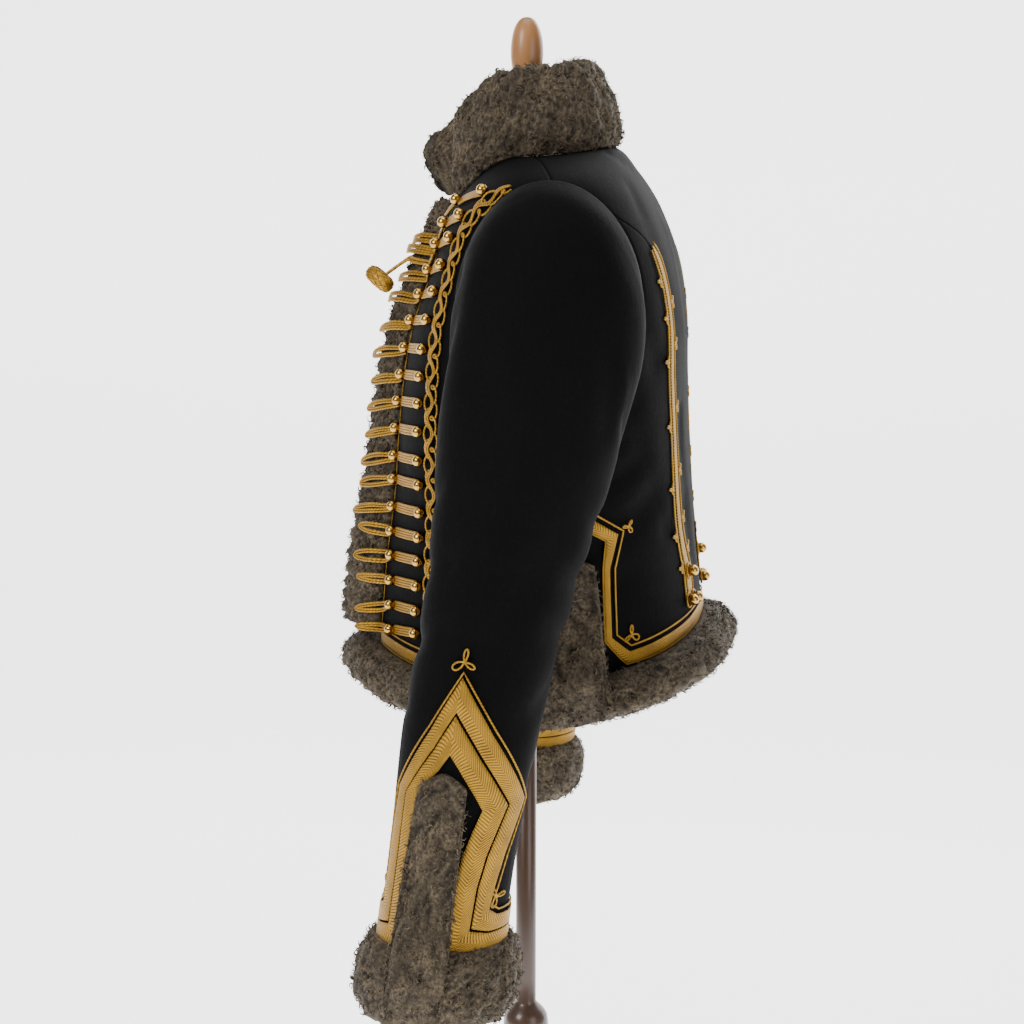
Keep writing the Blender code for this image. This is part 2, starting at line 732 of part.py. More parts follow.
def vent_share(turn):
    """How much of the side vent's rise the fur has at this turn of the left half."""
    off = abs(math.degrees(turn) - VENT_TURN)
    if off >= VENT_HALF_TURN + VENT_SLOPE_TURN:
        return 0.0
    if off <= VENT_HALF_TURN:
        return 1.0 - 0.10 * (off / VENT_HALF_TURN) ** 2
    return 0.90 * (1.0 - (off - VENT_HALF_TURN) / VENT_SLOPE_TURN)


# Hem fur section outside: share of its height from top to foot, share of its thickness at the plain hem and at a vent
HEM_FUR_SECTION = (
    (0.00, 0.20, 0.20), (0.14, 0.74, 0.48), (0.42, 1.00, 0.56), (0.74, 0.94, 0.92), (1.00, 0.26, 0.26),
)


def hem_fur_loop(turn):
    left_turn = turn if turn <= math.pi else 2 * math.pi - turn
    share = vent_share(left_turn)
    edge_z = body_plain(turn, HEM).z
    top_z = edge_z + HEM_FUR_TOP
    if share > 0:
        top_z += (VENT_TOP_Z - top_z) * share
    top_level = height_level(turn, top_z)
    _, down, out = body_axes(turn, HEM)
    high = top_z - edge_z
    full = high + HEM_FUR_DROP
    loop = []
    for height, plain, vent in HEM_FUR_SECTION:
        drop = height * full
        if drop <= high:
            base = body(turn, height_level(turn, top_z - drop))
        else:
            base = body(turn, HEM) + down * (drop - high)
        thick = (plain + (vent - plain) * share) * HEM_FUR_THICK
        if height > 0.1:
            thick += lump(turn * 3.2, height * 2.0) * min(1.0, thick / 0.02)
        loop.append(base + out * thick)
    loop.append(body(turn, HEM) + down * (HEM_FUR_DROP - 0.001) - out * 0.002)
    loop.append(body(turn, HEM) + down * FUR_GAP - out * 0.002)
    loop.append(body(turn, HEM) + down * FUR_GAP + out * FUR_GAP)
    loop.append(body(turn, HEM + (top_level - HEM) * 0.5, FUR_GAP))
    loop.append(body(turn, top_level, FUR_GAP))
    return loop


def make_hem_fur():
    start = math.degrees(turn_at_x(HEM_FUR_END_X, HEM))
    first = VENT_TURN - VENT_HALF_TURN
    last = VENT_TURN + VENT_HALF_TURN
    half = [start + (first - VENT_SLOPE_TURN - start) * k / 7 for k in range(8)]
    half += [first + (last - first) * k / 4 for k in range(5)]
    half += [last + VENT_SLOPE_TURN + (180 - last - VENT_SLOPE_TURN) * k / 6 for k in range(7)]
    turns = half + [360 - t for t in reversed(half[:-1])]
    loops = [hem_fur_loop(math.radians(t)) for t in turns]
    add_object("hem_fur", loft_mesh("hem_fur", loops), lambskin())


def slit_share(degrees):
    """How much of the slit's rise the cuff fur has at this turn of the sleeve."""
    off = abs(degrees - SLIT_TURN)
    if off >= SLIT_HALF_TURN + SLIT_SLOPE_TURN:
        return 0.0
    if off <= SLIT_HALF_TURN:
        return 1.0 - 0.12 * (off / SLIT_HALF_TURN) ** 2
    return 0.88 * (1.0 - (off - SLIT_HALF_TURN) / SLIT_SLOPE_TURN)


# Cuff fur section outside: share of its height from top to foot, share of its thickness round the cuff and at the slit
CUFF_FUR_SECTION = (
    (0.00, 0.20, 0.25), (0.12, 0.66, 0.50), (0.42, 1.00, 0.62), (0.78, 0.92, 1.00), (1.00, 0.30, 0.30),
)


def sleeve_ring_at(turn, z):
    return bisect(lambda a: sleeve_plain(turn, a).z <= z, 5.0, CUFF_RING)


def cuff_fur_loop(degrees):
    turn = math.radians(degrees)
    share = slit_share(degrees if degrees < 180 else degrees - 360)
    top_z = CUFF_FUR_TOP_Z + (SLIT_TOP_Z - CUFF_FUR_TOP_Z) * share
    edge = sleeve_plain(turn, CUFF_RING)
    _, down, out = sleeve_axes(turn, CUFF_RING)
    top_ring = sleeve_ring_at(turn, top_z)
    loop = []
    for height, plain, slit in CUFF_FUR_SECTION:
        z = top_z + (CUFF_FUR_FOOT_Z - top_z) * height
        if z >= edge.z:
            base = sleeve(turn, sleeve_ring_at(turn, z))
        else:
            base = edge + down * (edge.z - z)
        thick = (plain + (slit - plain) * share) * CUFF_FUR_THICK
        if height > 0.15:
            thick += lump(turn * 1.6, height * 2.0)
        loop.append(base + out * thick)
    loop.append(edge + down * (edge.z - CUFF_FUR_FOOT_Z - 0.001) - out * 0.003)
    loop.append(edge + down * SLEEVE_GAP - out * 0.003)
    loop.append(edge + down * SLEEVE_GAP + out * SLEEVE_GAP)
    loop.append(sleeve_face(turn, 0.5 * (top_ring + CUFF_RING), SLEEVE_GAP))
    loop.append(sleeve_face(turn, top_ring, SLEEVE_GAP))
    return loop


def make_cuff_furs():
    first = SLIT_TURN - SLIT_HALF_TURN
    last = SLIT_TURN + SLIT_HALF_TURN
    turns = [first - SLIT_SLOPE_TURN] + [first + (last - first) * k / 4 for k in range(5)] + [last + SLIT_SLOPE_TURN]
    turns += [t for t in sleeve_turns() if last + 8 < t < 360 + first - 8 and t != BACK_SEAM_COLUMN]
    loops = [cuff_fur_loop(t % 360) for t in turns]
    for side, flip in (("l", False), ("r", True)):
        name = "cuff_fur_" + side
        add_object(name, loft_mesh(name, sided(loops, flip), ring=True), lambskin())


def strip_reaches(points, outs, half_widths):
    """For each point of a strip, the way from its middle to its edge, mitred at the bends."""
    last = len(points) - 1
    reaches = []
    for k, p in enumerate(points):
        arriving = (p - points[k - 1]).normalized() if k else (points[1] - p).normalized()
        leaving = (points[k + 1] - p).normalized() if k < last else arriving
        ahead = (arriving + leaving).normalized()
        side = ahead.cross(outs[k]).normalized()
        reaches.append(side * half_widths[k] / max(0.5, ahead.dot(arriving)))
    return reaches


def strip_loops(points, outs, half_widths, low, high):
    """Square sections along a strip: points on the cloth's face, the face's directions out, half widths."""
    loops = []
    for p, out, reach in zip(points, outs, strip_reaches(points, outs, half_widths)):
        loops.append([p - reach + out * low, p + reach + out * low, p + reach + out * high, p - reach + out * high])
    return loops


def body_strip(name, places, half_widths, low, high, flip=False, face=body):
    """A strip that lies on the coat, each of its edges on the face."""
    points = [face(t, u) for t, u in places]
    outs = [body_axes(t, u)[2] for t, u in places]
    loops = []
    for (turn, level), out, reach in zip(places, outs, strip_reaches(points, outs, half_widths)):
        left = face(*shifted(turn, level, -reach))
        right = face(*shifted(turn, level, reach))
        loops.append([left + out * low, right + out * low, right + out * high, left + out * high])
    if flip:
        loops = [mirrored(loop) for loop in loops]
    return loft_mesh(name, loops)


def fused(name, meshes):
    """One closed mesh from overlapping closed meshes."""
    holders = [bpy.data.objects.new("piece", mesh) for mesh in meshes]
    for holder in holders:
        bpy.context.scene.collection.objects.link(holder)
    for holder in holders[1:]:
        union = holders[0].modifiers.new("join", "BOOLEAN")
        union.operation = "UNION"
        union.solver = "EXACT"
        union.object = holder
    graph = bpy.context.evaluated_depsgraph_get()
    made = bpy.data.meshes.new_from_object(holders[0].evaluated_get(graph))
    made.name = name
    for holder in holders:
        bpy.data.objects.remove(holder, do_unlink=True)
    work = bmesh.new()
    work.from_mesh(made)
    bmesh.ops.remove_doubles(work, verts=work.verts, dist=0.00002)
    bmesh.ops.triangulate(work, faces=work.faces)
    work.to_mesh(made)
    work.free()
    made.shade_smooth()
    made.set_sharp_from_angle(angle=math.radians(40))
    return made


def ball_mesh(centre, out, radius, sides=6, rings=4):
    work = bmesh.new()
    bmesh.ops.create_uvsphere(work, u_segments=sides, v_segments=rings, radius=radius)
    turned = Vector((0, 0, 1)).rotation_difference(out).to_matrix()
    bmesh.ops.rotate(work, verts=work.verts, matrix=turned)
    bmesh.ops.translate(work, verts=work.verts, vec=centre)
    mesh = bpy.data.meshes.new("ball")
    work.to_mesh(mesh)
    work.free()
    return mesh


def chain_place(share):
    """The turn and level of the middle of the chain band, at a fractional row of its table."""
    degrees, level = spline(CHAIN_PATH, share)
    return math.radians(degrees), level


def chain_half_width(share):
    """Half the band's width, narrow at the shoulder."""
    return CHAIN_HALF_WIDTH * min(1.0, 0.36 + 0.40 * share)


def make_chains():
    face = front_face(front_rows())
    count = 28
    last = len(CHAIN_PATH) - 1
    shares = [last * k / count for k in range(count + 1)]
    places = [chain_place(share) for share in shares]
    widths = [chain_half_width(share) * (1.0 if k % 2 else 0.80) for k, share in enumerate(shares)]
    for side, flip in (("l", False), ("r", True)):
        name = "chain_" + side
        strip = body_strip(name, places, widths, CHAIN_GAP, CHAIN_GAP + CHAIN_THICK, flip, face)
        add_object(name, strip, gold_lace())


def row_middle_z(index):
    """The height of a row's inner button."""
    z = ROW_TOP_Z
    for k in range(index):
        z -= ROW_PITCH_TOP + ROW_PITCH_GROWTH * min(k, ROW_PITCH_STEPS)
    return z


def beside_chain(share):
    """The turn and level of a button that lies along the chain band's inner edge."""
    turn, level = chain_place(share)
    ahead = body_plain(*chain_place(share + 0.1)) - body_plain(*chain_place(share - 0.1))
    inward = ahead.cross(body_axes(turn, level)[2]).normalized()
    if inward.x > 0:
        inward.negate()
    return shifted(turn, level, inward * (chain_half_width(share) + BALL_RADIUS + CHAIN_CLEARANCE))


def row_outer_place(index):
    """The turn and level of a row's outer button."""
    z = row_middle_z(index) + ROW_TILT
    return beside_chain(bisect(lambda a: body_plain(*beside_chain(a)).z <= z, 0.0, len(CHAIN_PATH) - 1.0))


def row_inner_place(index):
    return place_at(between(ROW_INNER_X, index), row_middle_z(index))


def fur_rise(share):
    """The height of the front fur's outer face at a share of its width."""
    table = ((-0.30, 0.0), (-0.17, 0.0065), (0.08, 0.0155), (0.35, 0.0240), (0.68, 0.0295), (0.93, 0.0285))
    return between(table, share)


def loop_middle(index, reach):
    """The middle line of a row's hanging loop: 0 at the inner button, 1 at the loop's tip."""
    turn, start = row_inner_place(index)
    steep = -body_axes(turn, start)[1].z
    z = body_plain(turn, start).z - ROW_DROOP * steep * reach
    level = height_level(turn, z)
    edge_turn = front_edge_turn(level)
    across = (body_plain(turn, level) - body_plain(edge_turn, level)).length
    growth = front_fur_growth(level)
    width = FRONT_FUR_WIDTH * growth
    distance = -across + (across + width * between(LOOP_TIP_SHARE, index)) * reach
    share = distance / width
    rise = fur_rise(share) * growth
    lift = REST_GAP + LOOP_SEAT + CORD / 2 + LOOP_CLEARANCE * min(1.0, rise / 0.004)
    if distance < 0:
        here = turn + (edge_turn - turn) * (1.0 + distance / across)
        return body(here, level, rise + lift)
    return front_fur_point(level, share, rise + lift)


def loop_point(index, reach, aside):
    """A point beside the loop's middle line."""
    ahead = (loop_middle(index, reach + 0.05) - loop_middle(index, reach - 0.05)).normalized()
    out = body_axes(*row_inner_place(index))[2]
    return loop_middle(index, reach) + ahead.cross(out).normalized() * aside


# Hanging loop of a row: reach from the inner button to the tip, half spread
LOOP_STATIONS = ((0.0, 0.0019), (0.42, 0.0042), (0.80, 0.0042))
LOOP_TIP = (1.0, 0.0)


def row_mesh(index, name, face):
    outer_turn, outer_level = row_outer_place(index)
    inner_turn, inner_level = row_inner_place(index)
    whole = body_plain(inner_turn, inner_level) - body_plain(outer_turn, outer_level)
    places = [shifted(outer_turn, outer_level, whole * (k / ROW_STEPS)) for k in range(ROW_STEPS + 1)]
    widths = [PAIR_WIDTH / 2] * (ROW_STEPS + 1)
    gap = between(ROW_GAP, index)
    cords = body_strip("cords", places, widths, gap, gap + CORD, face=face)
    balls = []
    for turn, level in (places[0], places[-1]):
        out = body_axes(turn, level)[2]
        balls.append(ball_mesh(face(turn, level, REST_GAP + BALL_SEAT + BALL_RADIUS), out, BALL_RADIUS, 6, 3))
    path = [loop_point(index, reach, -spread) for reach, spread in LOOP_STATIONS]
    path.append(loop_point(index, *LOOP_TIP))
    path += [loop_point(index, reach, spread) for reach, spread in reversed(LOOP_STATIONS)]
    out = body_axes(inner_turn, inner_level)[2]
    loops = strip_loops(path, [out] * len(path), [CORD / 2] * len(path), -CORD / 2, CORD / 2)
    return fused(name, [cords, *balls, loft_mesh("loop", loops)])


def add_mirrored_pair(names, mesh, finish):
    """The left piece, and its mirror image on the right."""
    other = mesh.copy()
    other.transform(Matrix.Scale(-1, 4, (1, 0, 0)))
    other.flip_normals()
    add_object(names[0], mesh, finish)
    add_object(names[1], other, finish)


def make_rows():
    face = front_face(front_rows())
    for index in range(ROWS):
        names = ("row_l_%02d" % (index + 1), "row_r_%02d" % (index + 1))
        add_mirrored_pair(names, row_mesh(index, names[0], face), gold_lace())


def make_cuff_lace():
    stations = []
    ring = CUFF_LACE_PATH + ((CUFF_LACE_PATH[0][0] - 360.0, CUFF_LACE_PATH[0][1], CUFF_LACE_PATH[0][2] - 360.0, CUFF_LACE_PATH[0][3]),)
    for start, end in zip(ring, ring[1:]):
        steps = max(1, math.ceil(max(abs(end[0] - start[0]), abs(end[2] - start[2])) / 16.0))
        stations += [[a + (b - a) * k / steps for a, b in zip(start, end)] for k in range(steps)]
    loops = []
    for upper_turn, upper_ring, lower_turn, lower_ring in stations:
        high, low = [], []
        for share in (0.0, 0.5, 1.0):
            turn = math.radians(upper_turn + (lower_turn - upper_turn) * share)
            here = upper_ring + (lower_ring - upper_ring) * share
            high.append(sleeve_face(turn, here, CUFF_LACE_GAP + LACE_THICK))
            low.append(sleeve_face(turn, here, CUFF_LACE_GAP))
        loops.append(high + low[::-1])
    for side, flip in (("l", False), ("r", True)):
        name = "cuff_lace_" + side
        add_object(name, loft_mesh(name, sided(loops, flip), ring=True), gold_lace())


def make_hem_lace():
    half = []
    for degrees, rise, wide in HEM_LACE_PATH:
        turn = math.radians(degrees)
        half.append((turn, height_level(turn, body_plain(turn, HEM).z + rise), wide))
    stations = half + [(2 * math.pi - t, u, w) for t, u, w in reversed(half[:-1])]
    fine = [stations[0]]
    for start, end in zip(stations, stations[1:]):
        steps = max(1, round((body(*end[:2]) - body(*start[:2])).length / 0.026))
        fine += [tuple(a + (b - a) * k / steps for a, b in zip(start, end)) for k in range(1, steps + 1)]
    places = [(t, u) for t, u, _ in fine]
    halves = [w for _, _, w in fine]
    add_object("hem_lace", body_strip("hem_lace", places, halves, LACE_GAP, LACE_GAP + LACE_THICK), gold_lace())


def make_back_laces():
    places, halves = [], []
    for z, x, half in BACK_LACE_PATH:
        places.append(place_at(x, z, back=True))
        halves.append(half)
    strip = body_strip("strip", places, halves, REST_GAP, REST_GAP + LACE_THICK)
    buttons = []
    for x, z in BACK_BUTTONS:
        turn, level = place_at(x, z, back=True)
        out = body_axes(turn, level)[2]
        buttons.append(ball_mesh(body(turn, level, REST_GAP + BALL_SEAT + BACK_BALL_RADIUS), out, BACK_BALL_RADIUS, 6, 3))
    mesh = fused("back_lace_l", [strip, *buttons])
    add_mirrored_pair(("back_lace_l", "back_lace_r"), mesh, gold_lace())


def turned_mesh(name, profile, steps):
    """A solid of revolution about the z axis from (radius, height) points, from top to bottom."""
    loops = []
    points, faces = [], []
    top = Vector((0.0, 0.0, profile[0][1]))
    low = Vector((0.0, 0.0, profile[-1][1]))
    for radius, z in profile:
        loops.append([Vector((radius * math.cos(a), radius * math.sin(a), z))
                      for a in (2 * math.pi * k / steps for k in range(steps))])
    points = [top] + [p for loop in loops for p in loop] + [low]
    for i in range(len(loops) - 1):
        for j in range(steps):
            k = (j + 1) % steps
            faces.append((1 + i * steps + j, 1 + i * steps + k, 1 + (i + 1) * steps + k, 1 + (i + 1) * steps + j))
    last = 1 + (len(loops) - 1) * steps
    for j in range(steps):
        k = (j + 1) % steps
        faces.append((0, 1 + j, 1 + k))
        faces.append((len(points) - 1, last + j, last + k))
    return mesh_from(name, points, faces)


def form_inset(level):
    """How far the dress form's face lies inside the coat's outer face."""
    table = ((0.0, FORM_SEAT), (1.0, FORM_SEAT), (2.0, 0.0048), (4.0, 0.0090), (7.0, 0.0125), (9.0, 0.020), (11.0, 0.026))
    return between(table, level)


def make_dress_form():
    around = 14
    turns = [2 * math.pi * k / around for k in range(around)]
    rings = []
    for radius, z in ((FORM_NECK_RADIUS - 0.006, FORM_NECK_TOP_Z), (FORM_NECK_RADIUS, FORM_NECK_TOP_Z - 0.004),
                      (FORM_NECK_RADIUS, FORM_NECK_TOP_Z - 0.030)):
        rings.append([Vector((radius * math.sin(t), 0.004 - radius * math.cos(t), z)) for t in turns])
    foot = [body_plain(t, 0.0) for t in turns]
    rings.append([Vector((p.x * FORM_NECK_SHARE, p.y * FORM_NECK_SHARE, p.z - FORM_NECK_FOOT)) for p in foot])
    levels = (0.25, 1.0, 1.6, 2.2, 3.0, 4.0, 5.5, 7.0, 8.5, 9.8)
    for level in levels:
        rings.append([body(t, level, -form_inset(level)) for t in turns])
    rings.append([Vector((p.x * 0.985, p.y * 0.985, FORM_LOW_Z + 0.006)) for p in rings[-1]])
    rings.append([Vector((p.x * 0.94, p.y * 0.94, FORM_LOW_Z)) for p in rings[-1]])
    add_object("dress_form", loft_mesh("dress_form", rings), linen())


def make_stand():
    r = POLE_RADIUS
    top = FORM_LOW_Z - SEAM_GAP
    pole = [(r, top), (r, KNOB_TOP_Z + 0.004)]
    turning = [
        (0.0180, KNOB_TOP_Z - 0.003), (0.0210, KNOB_TOP_Z - 0.014), (0.0205, KNOB_TOP_Z - 0.026),
        (0.0155, KNOB_TOP_Z - 0.036), (0.0195, KNOB_TOP_Z - 0.050), (0.0245, 0.240), (0.0225, 0.120),
        (0.0330, 0.088), (0.0330, 0.068), (0.0290, 0.054), (0.0520, 0.040), (BASE_RADIUS - 0.012, BASE_THICK),
        (BASE_RADIUS, BASE_THICK - 0.009), (BASE_RADIUS, 0.005), (BASE_RADIUS - 0.004, 0.0),
    ]
    add_object("stand", turned_mesh("stand", pole + turning, 14), pole_wood())
    foot = FORM_NECK_TOP_Z + SEAM_GAP
    tall = FINIAL_TOP_Z - foot
    stem = [(0.0105, foot + 0.004), (0.0105, foot)]
    egg = []
    for k in range(7):
        a = math.radians(14 + 22 * k)
        egg.append((FINIAL_RADIUS * math.sin(a) ** 0.8, FINIAL_TOP_Z - (tall - 0.004) * (1 - math.cos(a)) / 2))
    add_object("finial", turned_mesh("finial", egg + stem, 10), light_wood())


def make_toggle():
    """A woven spindle on a double cord that comes out between two rows."""
    spindle_end, spindle_head = Vector(TOGGLE_ENDS[0]), Vector(TOGGLE_ENDS[1])
    axis = (spindle_head - spindle_end).normalized()
    length = (spindle_head - spindle_end).length
    side = axis.orthogonal().normalized()
    other = axis.cross(side)
    loops = []
    for share, wide in ((0.0, 0.55), (0.10, 0.86), (0.35, 1.0), (0.65, 1.0), (0.90, 0.86), (1.0, 0.55)):
        centre = spindle_end + axis * length * share
        loops.append([centre + (side * math.cos(a) + other * math.sin(a)) * TOGGLE_RADIUS * wide
                      for a in (2 * math.pi * k / 8 for k in range(8))])
    spindle = loft_mesh("spindle", loops)
    path, outs = [], []
    for reach in (0.0, 0.28, 0.55, 0.80):
        pair = [loop_point(TOGGLE_ROW - 1 + k, reach, 0.0) for k in (0, 1)]
        out = body_axes(*row_inner_place(TOGGLE_ROW))[2]
        path.append(pair[0].lerp(pair[1], 0.5) + out * CORD * 0.4)
        outs.append(out)
    path.append(spindle_end.lerp(spindle_head, 0.5))
    outs.append(outs[-1])
    cord = loft_mesh("cord", strip_loops(path, outs, [TOGGLE_CORD_WIDTH / 2] * len(path), -CORD * 0.6, CORD * 0.6))
    add_object("toggle", fused("toggle", [spindle, cord]), gold_lace())


def build_all():
    make_panels()
    make_sleeves()
    make_collar()
    make_front_furs()
    make_hem_fur()
    make_cuff_furs()
    make_chains()
    make_rows()
    make_cuff_lace()
    make_hem_lace()
    make_back_laces()
    make_dress_form()
    make_stand()
    make_toggle()


def clear_scene():
    for old in list(bpy.data.objects):
        bpy.data.objects.remove(old, do_unlink=True)


clear_scene()
build_all()
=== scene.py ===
# Hussar pelisse coat on a limbless dress form with a turned wooden stand: the dressed model and its stage.
# Metres, +Z up. The wearer's front is -Y and the wearer's left is +X.
import math
from bisect import bisect_left

import bmesh
import bpy
from bpy.props import FloatProperty, FloatVectorProperty, PointerProperty
from mathutils import Matrix, Vector, noise


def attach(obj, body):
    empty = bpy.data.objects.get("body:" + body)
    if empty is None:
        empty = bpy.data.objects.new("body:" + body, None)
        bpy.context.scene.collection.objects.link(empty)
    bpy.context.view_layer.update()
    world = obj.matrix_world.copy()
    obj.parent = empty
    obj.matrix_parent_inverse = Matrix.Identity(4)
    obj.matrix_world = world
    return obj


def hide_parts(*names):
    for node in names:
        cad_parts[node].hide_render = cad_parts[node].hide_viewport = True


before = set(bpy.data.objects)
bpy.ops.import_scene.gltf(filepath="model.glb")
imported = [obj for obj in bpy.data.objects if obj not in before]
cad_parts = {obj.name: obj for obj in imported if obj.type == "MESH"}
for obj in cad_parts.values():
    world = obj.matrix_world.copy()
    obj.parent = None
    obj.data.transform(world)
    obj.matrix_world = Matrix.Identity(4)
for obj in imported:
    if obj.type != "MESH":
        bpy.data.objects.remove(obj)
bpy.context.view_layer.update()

bl_info = {
    "name": "Hussar pelisse on a stand",
    "version": (1, 0, 0),
    "blender": (4, 5, 0),
    "location": "3D View > Sidebar > Pelisse",
    "description": "Cuts, trims and furs a braided cavalry coat and turns the stand that wears it",
    "category": "Object",
}

# The coat's own sizes and tables, mostly as in the part
SEAM_GAP = 0.0003
SEAM_HALF = SEAM_GAP / 2 + 0.00002
REST_GAP = 0.0003
FUR_GAP = 0.0012
LACE_GAP = 0.0012
SLEEVE_GAP = 0.0007
CHAIN_GAP = 0.0007
NECK_EDGE_X = 0.040
FRONT_EDGE_X = 0.048
# Body of the coat, one row for each level from the neck seam to the hem:
# height at the side, drop at the front, lift at the back, middle of the side, half width,
# front and back of the section, roundness powers of the front and back halves
LEVEL_COLUMNS = ("height", "drop", "lift", "middle", "half_width", "front", "back", "front_power", "back_power")
LEVELS = (
    (1.436, 0.050, 0.010, 0.010, 0.064, -0.065, 0.075, 2.0, 2.2),
    (1.430, 0.050, 0.010, 0.022, 0.108, -0.068, 0.085, 2.0, 2.4),
    (1.414, 0.040, 0.008, 0.035, 0.156, -0.067, 0.098, 2.1, 2.6),
    (1.390, 0.026, 0.003, 0.040, 0.172, -0.069, 0.115, 2.2, 2.7),
    (1.350, 0.012, 0.000, 0.038, 0.174, -0.077, 0.131, 2.3, 2.8),
    (1.300, 0.008, 0.000, 0.032, 0.172, -0.094, 0.139, 2.3, 2.8),
    (1.250, 0.006, 0.000, 0.025, 0.170, -0.104, 0.141, 2.2, 2.7),
    (1.200, 0.005, 0.000, 0.020, 0.168, -0.109, 0.143, 2.2, 2.7),
    (1.150, 0.004, 0.000, 0.012, 0.164, -0.115, 0.147, 2.0, 2.6),
    (1.090, 0.003, 0.002, 0.005, 0.160, -0.127, 0.152, 1.8, 2.5),
    (1.040, -0.004, 0.012, 0.002, 0.162, -0.133, 0.156, 1.7, 2.5),
    (0.996, -0.010, 0.034, 0.000, 0.165, -0.137, 0.158, 1.65, 2.5),
)
HEM = len(LEVELS) - 1.0
# Armhole, an oval seen from the side
ARMHOLE_Y = 0.044
ARMHOLE_Z = 1.315
ARMHOLE_HALF_Y = 0.072
ARMHOLE_HALF_Z = 0.098
FRONT_TURNS = (0, 20, 40, 60, 80, 100, 120, 140, 160, 180)
BACK_TURNS = (0, 20, 40, 46, 60, 80, 100, 120, 140, 160, 180)
SEAM_START_TURN = 40
SEAM_CURVE_TURN = 24.0
SIDE_SEAM_HEM_Y = 0.056
# Back seam of the left half: height and distance from the middle of the back
BACK_SEAM = (
    (1.364, 0.104), (1.340, 0.094), (1.310, 0.087), (1.280, 0.084), (1.240, 0.081), (1.200, 0.078),
    (1.160, 0.076), (1.130, 0.073), (1.106, 0.066), (1.086, 0.057), (1.060, 0.055), (0.990, 0.058),
)
# Sleeve of the left arm, one row for each ring below the armhole: outer x and z, inner x and z, middle y, half y
SLEEVE_RINGS = (
    (0.190, 1.4150, 0.1730, 1.2120, 0.0460, 0.0745),
    (0.219, 1.4010, 0.1755, 1.2050, 0.0470, 0.0765),
    (0.242, 1.3700, 0.1775, 1.1950, 0.0460, 0.0760),
    (0.258, 1.3250, 0.1790, 1.1800, 0.0420, 0.0740),
    (0.268, 1.2700, 0.1800, 1.1580, 0.0350, 0.0710),
    (0.275, 1.2100, 0.1820, 1.1280, 0.0280, 0.0665),
    (0.280, 1.1450, 0.1860, 1.0850, 0.0180, 0.0605),
    (0.285, 1.0750, 0.1920, 1.0350, 0.0060, 0.0565),
    (0.292, 1.0050, 0.2000, 0.9820, -0.0060, 0.0545),
    (0.300, 0.9400, 0.2080, 0.9280, -0.0140, 0.0520),
    (0.306, 0.8800, 0.2150, 0.8780, -0.0210, 0.0500),
    (0.310, 0.8300, 0.2200, 0.8300, -0.0270, 0.0500),
    (0.312, 0.7800, 0.2220, 0.7800, -0.0320, 0.0510),
)
CUFF_RING = len(SLEEVE_RINGS) - 1.0
SLEEVE_BEND_Z = 1.180
SLEEVE_MESH_RINGS = (0, 1, 2, 3, 4.5, 6, 7.5, 9, 10.5, 12)
RIGHT_SLEEVE_SWING = 0.016
RIGHT_SLEEVE_LIFT = 0.016
# Fur
COLLAR_THICK = 0.021
COLLAR_SEAT = 0.0012
COLLAR_TOP_Z = 1.508
COLLAR_TOP_MIDDLE = 0.004
COLLAR_TOP_HALF = 0.0620
COLLAR_TOP_BACK = 0.0480
COLLAR_TOP_FRONT = 0.0560
FRONT_FUR_FIRST_LEVEL = 1.1
FRONT_FUR_TOP_LEVEL = 0.45
FRONT_FUR_FOOT_Z = 1.0245
FUR_LUMP = 0.0022
FRONT_FUR_WIDTH = 0.041
FRONT_FUR_GROWTH_TOP = 0.52
FRONT_FUR_GROWTH = 0.066
HEM_FUR_TOP = 0.007
HEM_FUR_DROP = 0.030
HEM_FUR_THICK = 0.027
HEM_FUR_END_X = 0.012
VENT_TURN = 108.0
VENT_HALF_TURN = 10.0
VENT_SLOPE_TURN = 2.0
VENT_TOP_Z = 1.116
CUFF_FUR_FOOT_Z = 0.765
CUFF_FUR_THICK = 0.014
CUFF_FUR_TOP_Z = 0.8275
SLIT_TURN = 9.0
SLIT_HALF_TURN = 21.0
SLIT_SLOPE_TURN = 2.0
SLIT_TOP_Z = 0.965
# How far the tops of the vent and slit strips fall towards their corners, as a share of their rise
VENT_SHOULDER = 0.12
SLIT_SHOULDER = 0.08
# Collar: turn of its left end, turns from which its ends bow out, and how far they do
COLLAR_END_TURN = 35
COLLAR_FAR_BOW_TURN = 250
COLLAR_NEAR_BOW_TURN = 100
COLLAR_FAR_BOW = 0.052
COLLAR_NEAR_BOW = 0.009
COLLAR_NEAR_DROP = 0.005
# Frog rows
ROWS = 18
ROW_TOP_Z = 1.400
ROW_PITCH_TOP = 0.0183
ROW_PITCH_GROWTH = 0.00093
ROW_PITCH_STEPS = 4
ROW_DROOP = 0.0110
BALL_RADIUS = 0.0043
CORD = 0.0026
LOOP_CLEARANCE = 0.0050
LOOP_SEAT = 0.0014
CHAIN_CLEARANCE = 0.0012
BALL_SEAT = 0.0003
# Share of the front fur's width that a row's loop reaches, by the row's number from the top
LOOP_TIP_SHARE = ((0, 0.10), (1, 0.60), (3, 0.80), (11, 0.70), (14, 0.54), (17, 0.44))
# Distance of a row's inner button from the middle of the front, by the row's number from the top
ROW_INNER_X = ((0, 0.100), (2, 0.088), (5, 0.077), (8, 0.072), (11, 0.072), (14, 0.084), (17, 0.090))
CHAIN_HALF_WIDTH = 0.0090
# Lace
LACE_THICK = 0.0013
